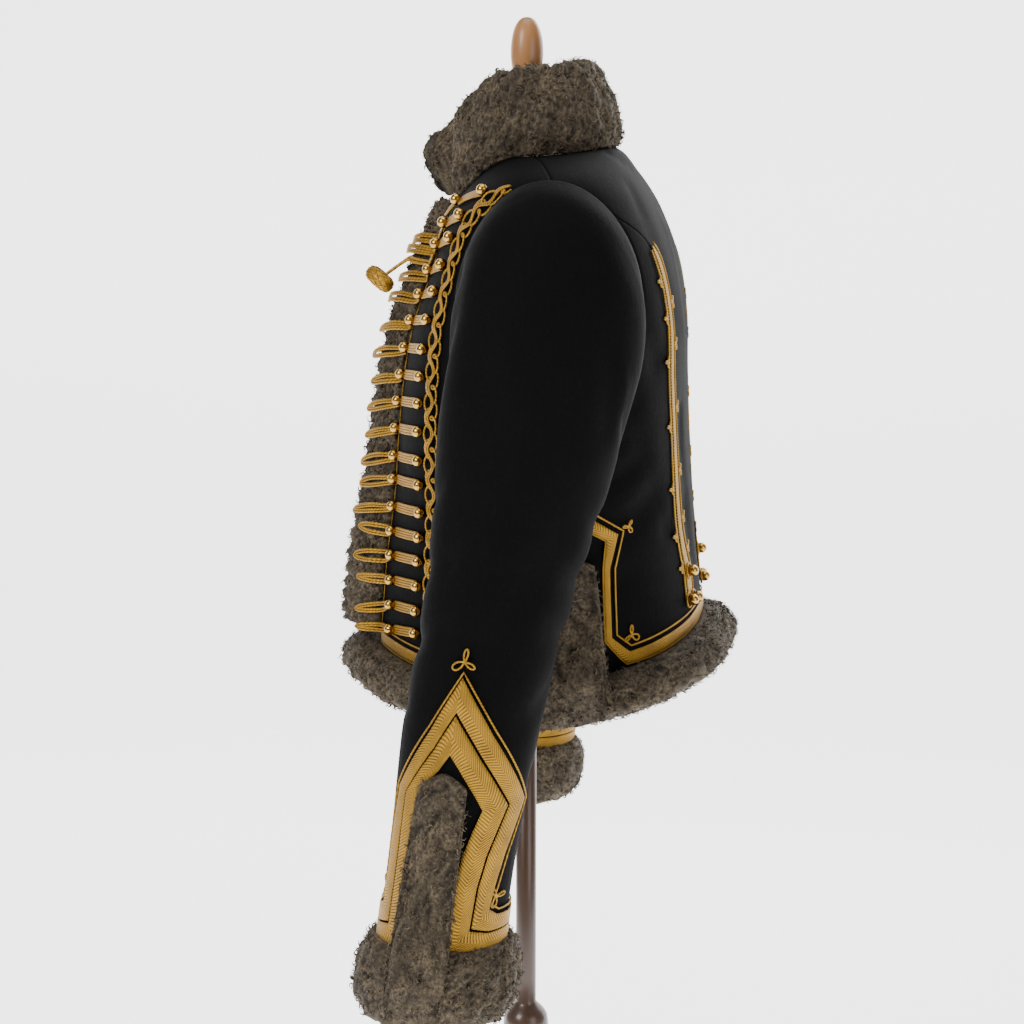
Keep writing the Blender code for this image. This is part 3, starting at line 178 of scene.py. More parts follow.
# Cuff lace, once round the sleeve from its peak: turn and ring of its upper edge, then of its lower edge
CUFF_LACE_PATH = (
    (5.0, 7.50, 5.0, 8.37), (-12.0, 7.83, -3.0, 8.52), (-28.0, 8.14, -12.0, 8.70), (-50.0, 8.52, -21.0, 8.88),
    (-74.0, 8.92, -28.0, 9.03), (-66.0, 9.26, -22.0, 9.30), (-58.0, 9.62, -16.5, 9.60), (-52.0, 10.05, -13.0, 10.05),
    (-49.0, 10.42, -13.0, 11.05), (-60.0, 10.54, -40.0, 11.10),
    *((float(-turn), 10.58, float(-turn), 11.10) for turn in range(80, 261, 20)),
    (-282.0, 10.56, -300.0, 11.10), (-298.0, 10.44, -329.0, 11.05), (-298.5, 10.05, -330.0, 10.30),
    (-299.5, 9.62, -330.5, 9.90), (-302.0, 9.20, -329.5, 9.40), (-305.5, 8.79, -328.0, 8.92),
    (-320.0, 8.45, -337.0, 8.74), (-335.0, 8.10, -347.0, 8.56),
)
# Hem and vent lace of the left half, from the front edge to the middle of the back:
# turn in degrees, rise over the cloth's lower edge, half width
HEM_LACE_PATH = (
    (23.0, 0.0140, 0.0050), (36.0, 0.0140, 0.0050), (50.0, 0.0140, 0.0050), (68.0, 0.0140, 0.0050),
    (86.0, 0.0150, 0.0045), (92.5, 0.0350, 0.0026), (93.5, 0.0800, 0.0026), (91.0, 0.1240, 0.0045),
    (107.5, 0.1520, 0.0050), (124.0, 0.1200, 0.0045), (122.3, 0.0950, 0.0026), (122.8, 0.0350, 0.0026),
    (129.0, 0.0150, 0.0045), (138.0, 0.0140, 0.0050), (150.0, 0.0140, 0.0050), (165.0, 0.0140, 0.0050),
    (180.0, 0.0140, 0.0050),
)
# Back lace of the left half: height, distance from the middle of the back, half width
BACK_LACE_PATH = (
    (1.362, 0.1050, 0.0010), (1.350, 0.0980, 0.0035), (1.330, 0.0915, 0.0035), (1.305, 0.0863, 0.0035),
    (1.280, 0.0840, 0.0035), (1.240, 0.0810, 0.0035), (1.200, 0.0780, 0.0035), (1.160, 0.0760, 0.0035),
    (1.130, 0.0730, 0.0035), (1.106, 0.0660, 0.0040), (1.090, 0.0590, 0.0050), (1.080, 0.0560, 0.0062),
    (1.058, 0.0550, 0.0065),
)
BACK_BALL_RADIUS = 0.0050
BACK_BUTTONS = ((0.0560, 1.084), (0.0480, 1.0595), (0.0620, 1.0595))
# Toggle: ends of the woven spindle, and the row above its cord
TOGGLE_ENDS = ((0.050, -0.112, 1.324), (0.040, -0.133, 1.340))
TOGGLE_RADIUS = 0.0068
TOGGLE_ROW = 3
# Spindle of the toggle: share of its length, share of its radius; and how far its threads wind round it, in radians
TOGGLE_PROFILE = (
    (0.0, 0.30), (0.02, 0.55), (0.07, 0.78), (0.20, 0.95), (0.40, 1.0), (0.60, 1.0), (0.80, 0.95), (0.93, 0.78),
    (0.98, 0.55), (1.0, 0.30),
)
TOGGLE_WIND = 2.2
# Stand
FORM_LOW_Z = 1.004
FORM_SEAT = 0.0040
# Distance of the form's face inside the coat's outer face, by level
FORM_INSET = (
    (0.0, FORM_SEAT), (1.0, FORM_SEAT), (2.0, 0.0048), (4.0, 0.0090), (7.0, 0.0125), (9.0, 0.020), (11.0, 0.026),
)
FORM_NECK_RADIUS = 0.042
FORM_NECK_SHARE = 0.74
FORM_NECK_FOOT = 0.003
FORM_NECK_TOP_Z = 1.492
POLE_RADIUS = 0.0094
KNOB_TOP_Z = 0.655
BASE_RADIUS = 0.170
BASE_THICK = 0.028
# Turned shapes of the stand: radius and height under the knob's top, radius and height, inset and height
KNOB_SHAPE = (
    (0.0165, -0.002), (0.0196, -0.007), (0.0210, -0.014), (0.0210, -0.019), (0.0205, -0.026), (0.0180, -0.031),
    (0.0160, -0.035), (0.0155, -0.037), (0.0160, -0.040), (0.0180, -0.045), (0.0195, -0.050), (0.0203, -0.060),
)
COLUMN_SHAPE = (
    (0.0225, 0.480), (0.0242, 0.360), (0.0245, 0.240), (0.0240, 0.180), (0.0228, 0.130), (0.0226, 0.118),
    (0.0250, 0.106), (0.0300, 0.096), (0.0330, 0.088), (0.0340, 0.078), (0.0330, 0.068), (0.0305, 0.061),
    (0.0292, 0.055), (0.0330, 0.048), (0.0420, 0.0425), (0.0560, 0.0390), (0.0900, 0.0350), (0.1300, 0.0310),
)
BASE_EDGE = (
    (0.012, BASE_THICK), (0.004, BASE_THICK - 0.003), (0.0, BASE_THICK - 0.009), (0.0, 0.006), (0.002, 0.002),
    (0.005, 0.0),
)
FINIAL_RADIUS = 0.0142
FINIAL_TOP_Z = 1.556
# Collar section from its foot outside, over its top, to its foot inside: share of the rise, share of the thickness
COLLAR_SECTION = (
    (0.00, 0.22), (0.22, 0.52), (0.60, 0.55), (0.88, 0.44), (1.00, 0.02), (0.92, -0.42), (0.55, -0.52), (0.00, -0.62),
)
# Front fur section, from the cloth's edge: share of the width towards the middle, height over the cloth's face
FRONT_FUR_SECTION = (
    (-0.17, 0.0007), (-0.17, 0.0060), (0.08, 0.0150), (0.35, 0.0235), (0.68, 0.0290), (0.93, 0.0280),
    (1.00, 0.0200), (0.80, 0.0110), (0.45, 0.0040), (0.03, 0.0007),
)
# Height of the front fur's outer face: share of its width, height
FRONT_FUR_RISE = ((-0.30, 0.0), (-0.17, 0.0065), (0.08, 0.0155), (0.35, 0.0240), (0.68, 0.0295), (0.93, 0.0285))
# Hem fur section outside: share of its height from top to foot, share of its thickness at the plain hem and at a vent
HEM_FUR_SECTION = (
    (0.00, 0.20, 0.20), (0.14, 0.74, 0.48), (0.42, 1.00, 0.56), (0.74, 0.94, 0.92), (1.00, 0.26, 0.26),
)
# Cuff fur section outside: share of its height from top to foot, share of its thickness round the cuff and at the slit
CUFF_FUR_SECTION = (
    (0.00, 0.20, 0.25), (0.12, 0.66, 0.50), (0.42, 1.00, 0.62), (0.78, 0.92, 1.00), (1.00, 0.30, 0.30),
)


def spline(table, place):
    """The row of a table at a fractional place, on a curve through its rows."""
    last = len(table) - 1
    place = min(max(place, 0.0), float(last))
    i = min(int(place), last - 1)
    f = place - i
    before = table[max(i - 1, 0)]
    start = table[i]
    end = table[i + 1]
    after = table[min(i + 2, last)]
    out = []
    for a, b, c, d in zip(before, start, end, after):
        out.append(
            b + 0.5 * f * (c - a + f * (2 * a - 5 * b + 4 * c - d + f * (3 * (b - c) + d - a)))
        )
    return out


def between(table, value):
    """The second column of a two-column table at a value of its first column, straight between its rows."""
    rows = sorted(table)
    if value <= rows[0][0]:
        return rows[0][1]
    for (low, at_low), (high, at_high) in zip(rows, rows[1:]):
        if value <= high:
            return at_low + (at_high - at_low) * (value - low) / (high - low)
    return rows[-1][1]


def bisect(test, low, high, steps=36):
    """Where test turns from false at low to true at high."""
    for _ in range(steps):
        middle = 0.5 * (low + high)
        if test(middle):
            high = middle
        else:
            low = middle
    return 0.5 * (low + high)


def body_plain(turn, level):
    """A point of the coat's outer face: turn is 0 at the front, 90 degrees at the left side, 180 at the back."""
    row = dict(zip(LEVEL_COLUMNS, spline(LEVELS, level)))
    s, c = math.sin(turn), math.cos(turn)
    if c >= 0:
        power, depth, z = row["front_power"], row["front"] - row["middle"], row["height"] - row["drop"] * c * c
    else:
        power, depth, z = row["back_power"], row["back"] - row["middle"], row["height"] + row["lift"] * c * c
    reach = (abs(s) ** power + abs(c) ** power) ** (-1.0 / power)
    return Vector((row["half_width"] * s * reach, row["middle"] + depth * abs(c) * reach, z))


def body_axes(turn, level):
    """The directions round the coat, down it, and straight out of it, at a point."""
    step = 0.004
    down_step = 0.02
    low = min(level + down_step, HEM)
    high = max(level - down_step, 0.0)
    around = body_plain(turn + step, level) - body_plain(turn - step, level)
    down = body_plain(turn, low) - body_plain(turn, high)
    out = down.cross(around).normalized()
    return around.normalized(), down.normalized(), out


def body(turn, level, out=0.0):
    point = body_plain(turn, level)
    if out:
        point = point + body_axes(turn, level)[2] * out
    return point


def along(turn, level, distance):
    """The turn that lies a distance further round."""
    step = 0.002
    rate = (body_plain(turn + step, level) - body_plain(turn - step, level)).length / (2 * step)
    return turn + distance / rate


def turn_at_x(x, level, back=False):
    if back:
        return math.pi - bisect(lambda a: body_plain(math.pi - a, level).x >= x, 0.0, math.pi / 2)
    return bisect(lambda a: body_plain(a, level).x >= x, 0.0, math.pi / 2)


def place_at(x, z, back=False):
    """The turn and level of the point with this x and z, on the front or the back of the left half."""
    def height(level):
        return body_plain(turn_at_x(x, level, back), level).z

    first = 0.0
    while body_plain(math.pi / 2, first).x < x + 0.002:
        first += 0.02
    level = bisect(lambda a: height(a) <= z, first, HEM)
    return turn_at_x(x, level, back), level


def side_place(y, z):
    """The turn and level of the point of the left side with this y and z."""
    def turn(level):
        return bisect(lambda a: body_plain(a, level).y >= y, 0.05, math.pi - 0.05)

    level = bisect(lambda a: body_plain(turn(a), a).z <= z, 0.9, HEM)
    return turn(level), level


def shifted(turn, level, move):
    """The place that lies a small move away over the coat's face."""
    target = body_plain(turn, level) + move
    step = 0.002
    for _ in range(4):
        here = body_plain(turn, level)
        by_turn = (body_plain(turn + step, level) - here) / step
        by_level = (body_plain(turn, level + step) - here) / step
        off = target - here
        a, b, c = by_turn.dot(by_turn), by_turn.dot(by_level), by_level.dot(by_level)
        d, e = by_turn.dot(off), by_level.dot(off)
        turn += (d * c - e * b) / (a * c - b * b)
        level += (e * a - d * b) / (a * c - b * b)
    return turn, level


def armhole_place(degrees, back, shrink=0.0):
    """The place on the armhole's edge, counted from its top towards the front or the back."""
    a = math.radians(degrees)
    side = 1.0 if back else -1.0
    y = ARMHOLE_Y + side * (ARMHOLE_HALF_Y - shrink) * math.sin(a)
    z = ARMHOLE_Z + (ARMHOLE_HALF_Z - shrink) * math.cos(a)
    return side_place(y, z)


def upper_levels():
    top = armhole_place(0, False)[1]
    return [top * k / 4.0 for k in range(4)]


def lower_levels():
    low = armhole_place(180, False)[1]
    steps = 8
    return [low + (HEM - low) * k / steps for k in range(1, steps + 1)]


def side_seam_turn(level):
    start = armhole_place(180, False)[1]
    share = (level - start) / (HEM - start)
    y = ARMHOLE_Y + (SIDE_SEAM_HEM_Y - ARMHOLE_Y) * share
    return bisect(lambda a: body_plain(a, level).y >= y, 0.05, math.pi - 0.05)


def shoulder_seam_turn(level):
    top_turn, top_level = armhole_place(0, False)
    return top_turn + (math.pi / 2 - top_turn) * (1.0 - level / top_level) * 0.5


def front_edge_turn(level):
    x = NECK_EDGE_X + (FRONT_EDGE_X - NECK_EDGE_X) * min(level / 3.0, 1.0)
    return turn_at_x(x, level)


def back_seam_turn(level):
    turn = 2.6
    for _ in range(4):
        turn = turn_at_x(between(BACK_SEAM, body_plain(turn, level).z), level, back=True)
    return turn


def outermost(flat, smooth, out):
    """The flat facet's point, brought out to the smooth face where that lies outside it."""
    return flat + out * max(0.0, (smooth - flat).dot(out))


def sleeve_turns():
    return [float(d) for d in FRONT_TURNS] + [360.0 - d for d in reversed(BACK_TURNS[1:-1])]


def sleeve_plain(turn, ring):
    """A point of the left sleeve's outer face: turn is 0 outside, 90 degrees in front, ring counts down the table."""
    outer_x, outer_z, inner_x, inner_z, middle_y, half_y = spline(SLEEVE_RINGS, ring)
    c, s = math.cos(turn), math.sin(turn)
    x = 0.5 * (outer_x + inner_x) + 0.5 * (outer_x - inner_x) * c
    z = 0.5 * (outer_z + inner_z) + 0.5 * (outer_z - inner_z) * c
    return Vector((x, middle_y - half_y * s, z))


def sleeve_axes(turn, ring):
    step = 0.01
    low = min(ring + step, CUFF_RING)
    high = max(ring - step, 0.0)
    around = sleeve_plain(turn + step, ring) - sleeve_plain(turn - step, ring)
    down = sleeve_plain(turn, low) - sleeve_plain(turn, high)
    return around.normalized(), down.normalized(), around.cross(down).normalized()


def sleeve(turn, ring, out=0.0):
    point = sleeve_plain(turn, ring)
    if out:
        point = point + sleeve_axes(turn, ring)[2] * out
    return point


def swung(points):
    """The right sleeve's points: mirrored, and a little further forward and higher towards the cuff."""
    out = []
    cuff_z = SLEEVE_RINGS[-1][1]
    for p in points:
        share = max(0.0, (SLEEVE_BEND_Z - p.z) / (SLEEVE_BEND_Z - cuff_z))
        out.append(Vector((-p.x, p.y - RIGHT_SLEEVE_SWING * share, p.z + RIGHT_SLEEVE_LIFT * share)))
    return out


def lump(a, b):
    """A small swelling of the fur that differs from place to place."""
    return FUR_LUMP * (math.sin(9.0 * a + 2.0 * math.sin(5.0 * b)) + 0.6 * math.sin(17.0 * b + 3.0 * a)) / 1.6


def sleeve_face(turn, ring, out=0.0):
    """A point clear of the left sleeve's flat facets."""
    turns = [math.radians(d) for d in sleeve_turns()]
    turn %= 2 * math.pi
    i = sum(1 for t in turns if t <= turn) - 1
    start, end = turns[i], turns[(i + 1) % len(turns)]
    if end <= start:
        end += 2 * math.pi
    j = min(len(SLEEVE_MESH_RINGS) - 2, sum(1 for r in SLEEVE_MESH_RINGS if r <= ring) - 1)
    upper, lower = SLEEVE_MESH_RINGS[j], SLEEVE_MESH_RINGS[j + 1]
    round_share = (turn - start) / (end - start)
    high = sleeve(start, upper).lerp(sleeve(end, upper), round_share)
    low = sleeve(start, lower).lerp(sleeve(end, lower), round_share)
    normal = sleeve_axes(turn, ring)[2]
    flat = high.lerp(low, (ring - upper) / (lower - upper))
    return outermost(flat, sleeve_plain(turn, ring), normal) + normal * out


def collar_middle(turn, share):
    """The middle of the collar's thickness, at a share of its rise."""
    foot = body_plain(turn, 0.0)
    s, c = math.sin(turn), math.cos(turn)
    y = COLLAR_TOP_MIDDLE + (COLLAR_TOP_BACK * -c if c < 0 else -COLLAR_TOP_FRONT * c)
    z = COLLAR_TOP_Z + (0.008 if c < 0 else -0.046) * c * c
    top = Vector((COLLAR_TOP_HALF * s, y, z))
    return foot.lerp(top, share)


def front_fur_growth(level):
    return min(1.0, FRONT_FUR_GROWTH_TOP + FRONT_FUR_GROWTH * (level - FRONT_FUR_FIRST_LEVEL))


def front_fur_point(level, share, rise):
    """A point by the front edge: share of the fur's width towards the middle, height over the cloth's face."""
    turn = front_edge_turn(level)
    around, _, out = body_axes(turn, level)
    return body(turn, level) - around * FRONT_FUR_WIDTH * front_fur_growth(level) * share + out * rise


def height_level(turn, z):
    """The level where the body's face at this turn has this height."""
    return bisect(lambda a: body_plain(turn, a).z <= z, 0.0, HEM)


def hem_fur_loop(turn):
    left_turn = turn if turn <= math.pi else 2 * math.pi - turn
    share = vent_share(left_turn)
    edge_z = body_plain(turn, HEM).z
    top_z = edge_z + HEM_FUR_TOP
    if share > 0:
        top_z += (VENT_TOP_Z - top_z) * share
    top_level = height_level(turn, top_z)
    _, down, out = body_axes(turn, HEM)
    high = top_z - edge_z
    full = high + HEM_FUR_DROP
    loop = []
    for height, plain, vent in HEM_FUR_SECTION:
        drop = height * full
        if drop <= high:
            base = body(turn, height_level(turn, top_z - drop))
        else:
            base = body(turn, HEM) + down * (drop - high)
        thick = (plain + (vent - plain) * share) * HEM_FUR_THICK
        if height > 0.1:
            thick += lump(turn * 3.2, height * 2.0) * min(1.0, thick / 0.02)
        loop.append(base + out * thick)
    loop.append(body(turn, HEM) + down * (HEM_FUR_DROP - 0.001) - out * 0.002)
    loop.append(body(turn, HEM) + down * FUR_GAP - out * 0.002)
    loop.append(body(turn, HEM) + down * FUR_GAP + out * FUR_GAP)
    loop.append(body(turn, HEM + (top_level - HEM) * 0.5, FUR_GAP))
    loop.append(body(turn, top_level, FUR_GAP))
    return loop


def sleeve_ring_at(turn, z):
    return bisect(lambda a: sleeve_plain(turn, a).z <= z, 5.0, CUFF_RING)


def cuff_fur_loop(degrees):
    turn = math.radians(degrees)
    share = slit_share(degrees if degrees < 180 else degrees - 360)
    top_z = CUFF_FUR_TOP_Z + (SLIT_TOP_Z - CUFF_FUR_TOP_Z) * share
    edge = sleeve_plain(turn, CUFF_RING)
    _, down, out = sleeve_axes(turn, CUFF_RING)
    top_ring = sleeve_ring_at(turn, top_z)
    loop = []
    for height, plain, slit in CUFF_FUR_SECTION:
        z = top_z + (CUFF_FUR_FOOT_Z - top_z) * height
        if z >= edge.z:
            base = sleeve(turn, sleeve_ring_at(turn, z))
        else:
            base = edge + down * (edge.z - z)
        thick = (plain + (slit - plain) * share) * CUFF_FUR_THICK
        if height > 0.15:
            thick += lump(turn * 1.6, height * 2.0)
        loop.append(base + out * thick)
    loop.append(edge + down * (edge.z - CUFF_FUR_FOOT_Z - 0.001) - out * 0.003)
    loop.append(edge + down * SLEEVE_GAP - out * 0.003)
    loop.append(edge + down * SLEEVE_GAP + out * SLEEVE_GAP)
    loop.append(sleeve_face(turn, 0.5 * (top_ring + CUFF_RING), SLEEVE_GAP))
    loop.append(sleeve_face(turn, top_ring, SLEEVE_GAP))
    return loop


def strip_reaches(points, outs, half_widths):
    """For each point of a strip, the way from its middle to its edge, mitred at the bends."""
    last = len(points) - 1
    reaches = []
    for k, p in enumerate(points):
        arriving = (p - points[k - 1]).normalized() if k else (points[1] - p).normalized()
        leaving = (points[k + 1] - p).normalized() if k < last else arriving
        ahead = (arriving + leaving).normalized()
        side = ahead.cross(outs[k]).normalized()
        reaches.append(side * half_widths[k] / max(0.5, ahead.dot(arriving)))
    return reaches


def chain_place(share):
    """The turn and level of the middle of the chain band, at a fractional row of its table."""
    degrees, level = spline(CHAIN_PATH, share)
    return math.radians(degrees), level


def chain_half_width(share):
    """Half the band's width, narrow at the shoulder."""
    return CHAIN_HALF_WIDTH * min(1.0, 0.36 + 0.40 * share)


def beside_chain(share):
    """The turn and level of a button that lies along the chain band's inner edge."""
    turn, level = chain_place(share)
    ahead = body_plain(*chain_place(share + 0.1)) - body_plain(*chain_place(share - 0.1))
    inward = ahead.cross(body_axes(turn, level)[2]).normalized()
    if inward.x > 0:
        inward.negate()
    return shifted(turn, level, inward * (chain_half_width(share) + BALL_RADIUS + CHAIN_CLEARANCE))


def row_inner_place(index):
    return place_at(between(ROW_INNER_X, index), row_middle_z(index))


def fur_rise(share):
    """The height of the front fur's outer face at a share of its width."""
    return between(FRONT_FUR_RISE, share)


def loop_middle(index, reach):
    """The middle line of a row's hanging loop: 0 at the inner button, 1 at the loop's tip."""
    turn, start = row_inner_place(index)
    steep = -body_axes(turn, start)[1].z
    z = body_plain(turn, start).z - ROW_DROOP * steep * reach
    level = height_level(turn, z)
    edge_turn = front_edge_turn(level)
    across = (body_plain(turn, level) - body_plain(edge_turn, level)).length
    growth = front_fur_growth(level)
    width = FRONT_FUR_WIDTH * growth
    distance = -across + (across + width * between(LOOP_TIP_SHARE, index)) * reach
    share = distance / width
    rise = fur_rise(share) * growth
    lift = REST_GAP + LOOP_SEAT + CORD / 2 + LOOP_CLEARANCE * min(1.0, rise / 0.004)
    if distance < 0:
        here = turn + (edge_turn - turn) * (1.0 + distance / across)
        return body(here, level, rise + lift)
    return front_fur_point(level, share, rise + lift)


def loop_point(index, reach, aside):
    """A point beside the loop's middle line."""
    ahead = (loop_middle(index, reach + 0.05) - loop_middle(index, reach - 0.05)).normalized()
    out = body_axes(*row_inner_place(index))[2]
    return loop_middle(index, reach) + ahead.cross(out).normalized() * aside


def form_inset(level):
    """How far the dress form's face lies inside the coat's outer face."""
    return between(FORM_INSET, level)


# Chain band of interlaced cord: turn in degrees and level of its middle
CHAIN_PATH = (
    (76.0, 2.15), (70.5, 2.30), (62.0, 2.62), (54.5, 3.05), (50.5, 3.60), (49.5, 4.20), (50.3, 4.90), (51.3, 5.60),
    (52.6, 6.30), (54.2, 7.00), (56.2, 7.70), (58.2, 8.30), (59.6, 9.00), (60.0, 9.70), (60.0, 10.12),
)
# Distance that each row's inner button lies under the evenly spaced line, by the row's number from the top
ROW_DROP = (
    (0, 0.0026), (1, 0.0018), (2, 0.0002), (3, 0.0018), (5, 0.0018), (6, 0.0028), (8, 0.0044), (9, 0.0060),
    (10, 0.0078), (11, 0.0062), (12, 0.0078), (13, 0.0070), (14, 0.0054), (16, 0.0044), (17, 0.0036),
)
# How much higher each row's outer button lies, by the row's number from the top
ROW_TILTS = ((0, 0.0074), (3, 0.0060), (6, 0.0030), (9, 0.0040), (17, 0.0026))


def row_middle_z(index):
    """The height of a row's inner button."""
    z = ROW_TOP_Z
    for k in range(index):
        z -= ROW_PITCH_TOP + ROW_PITCH_GROWTH * min(k, ROW_PITCH_STEPS)
    return z - between(ROW_DROP, index)


def row_outer_place(index):
    """The turn and level of a row's outer button, against the chain band."""
    z = row_middle_z(index) + between(ROW_TILTS, index)
    return beside_chain(bisect(lambda a: body_plain(*beside_chain(a)).z <= z, 0.0, len(CHAIN_PATH) - 1.0))


def vent_share(turn):
    """How much of the side vent's rise the fur has at this turn of the left half."""
    off = abs(math.degrees(turn) - VENT_TURN)
    if off >= VENT_HALF_TURN + VENT_SLOPE_TURN:
        return 0.0
    if off <= VENT_HALF_TURN:
        return 1.0 - VENT_SHOULDER * off / VENT_HALF_TURN
    return (1.0 - VENT_SHOULDER) * (1.0 - (off - VENT_HALF_TURN) / VENT_SLOPE_TURN)


def slit_share(degrees):
    """How much of the slit's rise the cuff fur has at this turn of the sleeve."""
    off = abs(degrees - SLIT_TURN)
    if off >= SLIT_HALF_TURN + SLIT_SLOPE_TURN:
        return 0.0
    if off <= SLIT_HALF_TURN:
        return 1.0 - SLIT_SHOULDER * (off / SLIT_HALF_TURN) ** 1.5
    return (1.0 - SLIT_SHOULDER) * (1.0 - (off - SLIT_HALF_TURN) / SLIT_SLOPE_TURN)


def collar_loops(sections):
    """The collar's sections, from its left front end round the back to its right front end."""
    left_end = math.radians(COLLAR_END_TURN)
    right_end = math.radians(360 - COLLAR_END_TURN)
    far_from = math.radians(COLLAR_FAR_BOW_TURN)
    near_from = math.radians(COLLAR_NEAR_BOW_TURN)
    loops = []
    for k in range(sections + 1):
        turn = left_end + (right_end - left_end) * k / sections
        end_share = max(0.0, 1.0 - 3.5 * min(k, sections - k) / sections)
        thin = 1.0 - 0.45 * end_share ** 3
        flare = COLLAR_FAR_BOW * max(0.0, (turn - far_from) / (right_end - far_from)) ** 2
        near = max(0.0, (near_from - turn) / (near_from - left_end)) ** 2
        away = Vector((math.sin(turn), -math.cos(turn), 0.0))
        loop = []
        for rise, out in COLLAR_SECTION:
            point = collar_middle(turn, rise) + away * COLLAR_THICK * out * thin
            if rise > 0:
                point += away * (lump(turn * 2.0, rise * 2.0) if out > 0 else 0.0)
                point.z += lump(turn * 3.0, rise) * rise
            point.y -= flare * math.sin(0.5 * math.pi * min(1.0, 0.30 + rise))
            point.x -= flare * 0.45 * rise
            point.z -= flare * 0.35 * rise
            point.y -= COLLAR_NEAR_BOW * near * min(1.0, 0.3 + rise)
            point.z += COLLAR_SEAT - COLLAR_NEAR_DROP * near * (1.0 - rise)
            loop.append(point)
        loops.append(loop)
    return loops


def front_fur_loops(sections):
    """The left front fur's sections, from the collar down."""
    last = place_at(FRONT_EDGE_X, FRONT_FUR_FOOT_Z)[1]
    loops = []
    for k in range(sections + 1):
        level = FRONT_FUR_TOP_LEVEL + (last - FRONT_FUR_TOP_LEVEL) * k / sections
        growth = front_fur_growth(level)
        loop = []
        for share, rise in FRONT_FUR_SECTION:
            if rise > 0.001:
                rise = rise * growth + (lump(level * 2.4, share * 2.0) if rise > 0.01 else 0.0)
            loop.append(front_fur_point(level, share, rise))
        loops.append(loop)
    return loops


def hem_fur_loops(step):
    """The hem fur's sections all round, closer together where the vents rise."""
    start = math.degrees(turn_at_x(HEM_FUR_END_X, HEM))
    half = [start]
    while half[-1] < 180 - step:
        off = abs(half[-1] - VENT_TURN)
        near = VENT_HALF_TURN - 1.0 < off < VENT_HALF_TURN + VENT_SLOPE_TURN + 1.0
        half.append(half[-1] + (0.4 if near else step))
    turns = half + [180.0] + [360 - t for t in reversed(half)]
    return [hem_fur_loop(math.radians(t)) for t in turns]


def cuff_fur_loops():
    """The left cuff fur's sections all round, closer together where the slit rises."""
    turns = [SLIT_TURN - 180.0]
    while turns[-1] < SLIT_TURN + 180.0 - 4.0:
        off = abs(turns[-1] - SLIT_TURN)
        near = SLIT_HALF_TURN - 2.0 < off < SLIT_HALF_TURN + SLIT_SLOPE_TURN + 2.0
        turns.append(turns[-1] + (0.7 if near else 3.4))
    return [cuff_fur_loop(t % 360) for t in turns]


# How each row's loop hangs: its reach, how far its tip droops, and how wide it opens, from the top row down
LOOP_HANG = (
    (0.50, -0.0040, 0.9), (1.15, 0.0050, 0.8), (1.22, -0.0015, 0.7), (1.00, 0.0075, 0.9), (1.10, 0.0028, 0.9),
    (0.95, 0.0070, 0.7), (0.97, 0.0036, 1.0), (0.80, 0.0060, 0.8), (0.82, 0.0054, 0.9), (0.78, 0.0070, 0.7),
    (0.83, 0.0054, 1.1), (0.77, 0.0054, 1.0), (0.88, 0.0060, 0.8), (0.71, -0.0054, 1.1), (0.79, 0.0018, 1.3),
    (0.73, -0.0028, 0.8), (0.76, 0.0100, 0.9), (0.76, 0.0026, 0.8),
)

# Outline of half a loop: share of its reach, distance of the strand from the middle line
LOOP_OUTLINE = (
    (-0.02, 0.0002), (0.10, 0.0006), (0.24, 0.0017), (0.40, 0.0027), (0.56, 0.0032), (0.72, 0.0031), (0.85, 0.0024),
    (0.94, 0.0014),
)


def hung_point(index, reach, aside, droop):
    """A point of a hanging loop, which droops towards its tip."""
    point = loop_point(index, reach, aside)
    point.z -= droop * max(0.0, reach) ** 1.5
    return point


class PelisseSizes(bpy.types.PropertyGroup):
    """Sizes that a maker would change."""

    cloth: FloatProperty(name="Cloth", description="Thickness of the broadcloth", default=0.0018, unit="LENGTH")
    fold: FloatProperty(name="Folds", description="Depth of the folds, 1 as worn here", default=1.0, min=0.0, max=2.0)
    cord: FloatProperty(name="Row cord", description="Radius of the rows' cords", default=0.00130, unit="LENGTH")
    braid: FloatProperty(name="Braid", description="Radius of the narrow braid", default=0.00085, unit="LENGTH")
    curl: FloatProperty(name="Curl", description="Length of a lock of the fur", default=0.0074, unit="LENGTH")
    curl_count: FloatProperty(name="Curls", description="Locks on a square metre of fur", default=29000.0, min=0.0)
    hair_count: FloatProperty(name="Hairs", description="Loose hairs on a square metre", default=46000.0, min=0.0)


def colour_choice(name, description, default):
    return FloatVectorProperty(name=name, description=description, subtype="COLOR", default=default)


class PelisseColours(bpy.types.PropertyGroup):
    """Colours that a maker would change."""

    cloth: colour_choice("Broadcloth", "The coat's cloth", (0.0011, 0.0011, 0.0013))
    fur: colour_choice("Fur", "The lamb's curls", (0.105, 0.079, 0.049))
    # Painted shade: the dark colour of the fur's valleys and of the feet of its locks, where shade falls between the
    # curls
    fur_painted_shade: colour_choice("Fur, deep", "Between the curls", (0.0050, 0.0036, 0.0024))
    gold: colour_choice("Gold", "Gold thread", (0.40, 0.215, 0.020))
    # Painted shade in the grooves between the lace's threads and between the cord's strands; the random tarnish cloud
    # also mixes towards it
    gold_shade_and_tarnish: colour_choice("Gold, deep", "Between the threads", (0.026, 0.0105, 0.0015))
    brass: colour_choice("Buttons", "Gilt ball buttons", (0.56, 0.33, 0.075))
    linen: colour_choice("Form cover", "The form's linen", (0.66, 0.61, 0.52))
    pole: colour_choice("Pole", "Varnished pole", (0.036, 0.013, 0.0030))
    finial: colour_choice("Finial", "Light turned wood", (0.34, 0.150, 0.046))
    floor: colour_choice("Floor", "The pale floor", (0.95, 0.95, 0.95))


def feed(tree, socket, value):
    """Links a socket to a value that varies, or sets it to one that doesn't."""
    if isinstance(value, Term):
        value = value.socket
    if isinstance(value, bpy.types.NodeSocket):
        tree.links.new(value, socket)
    else:
        socket.default_value = value


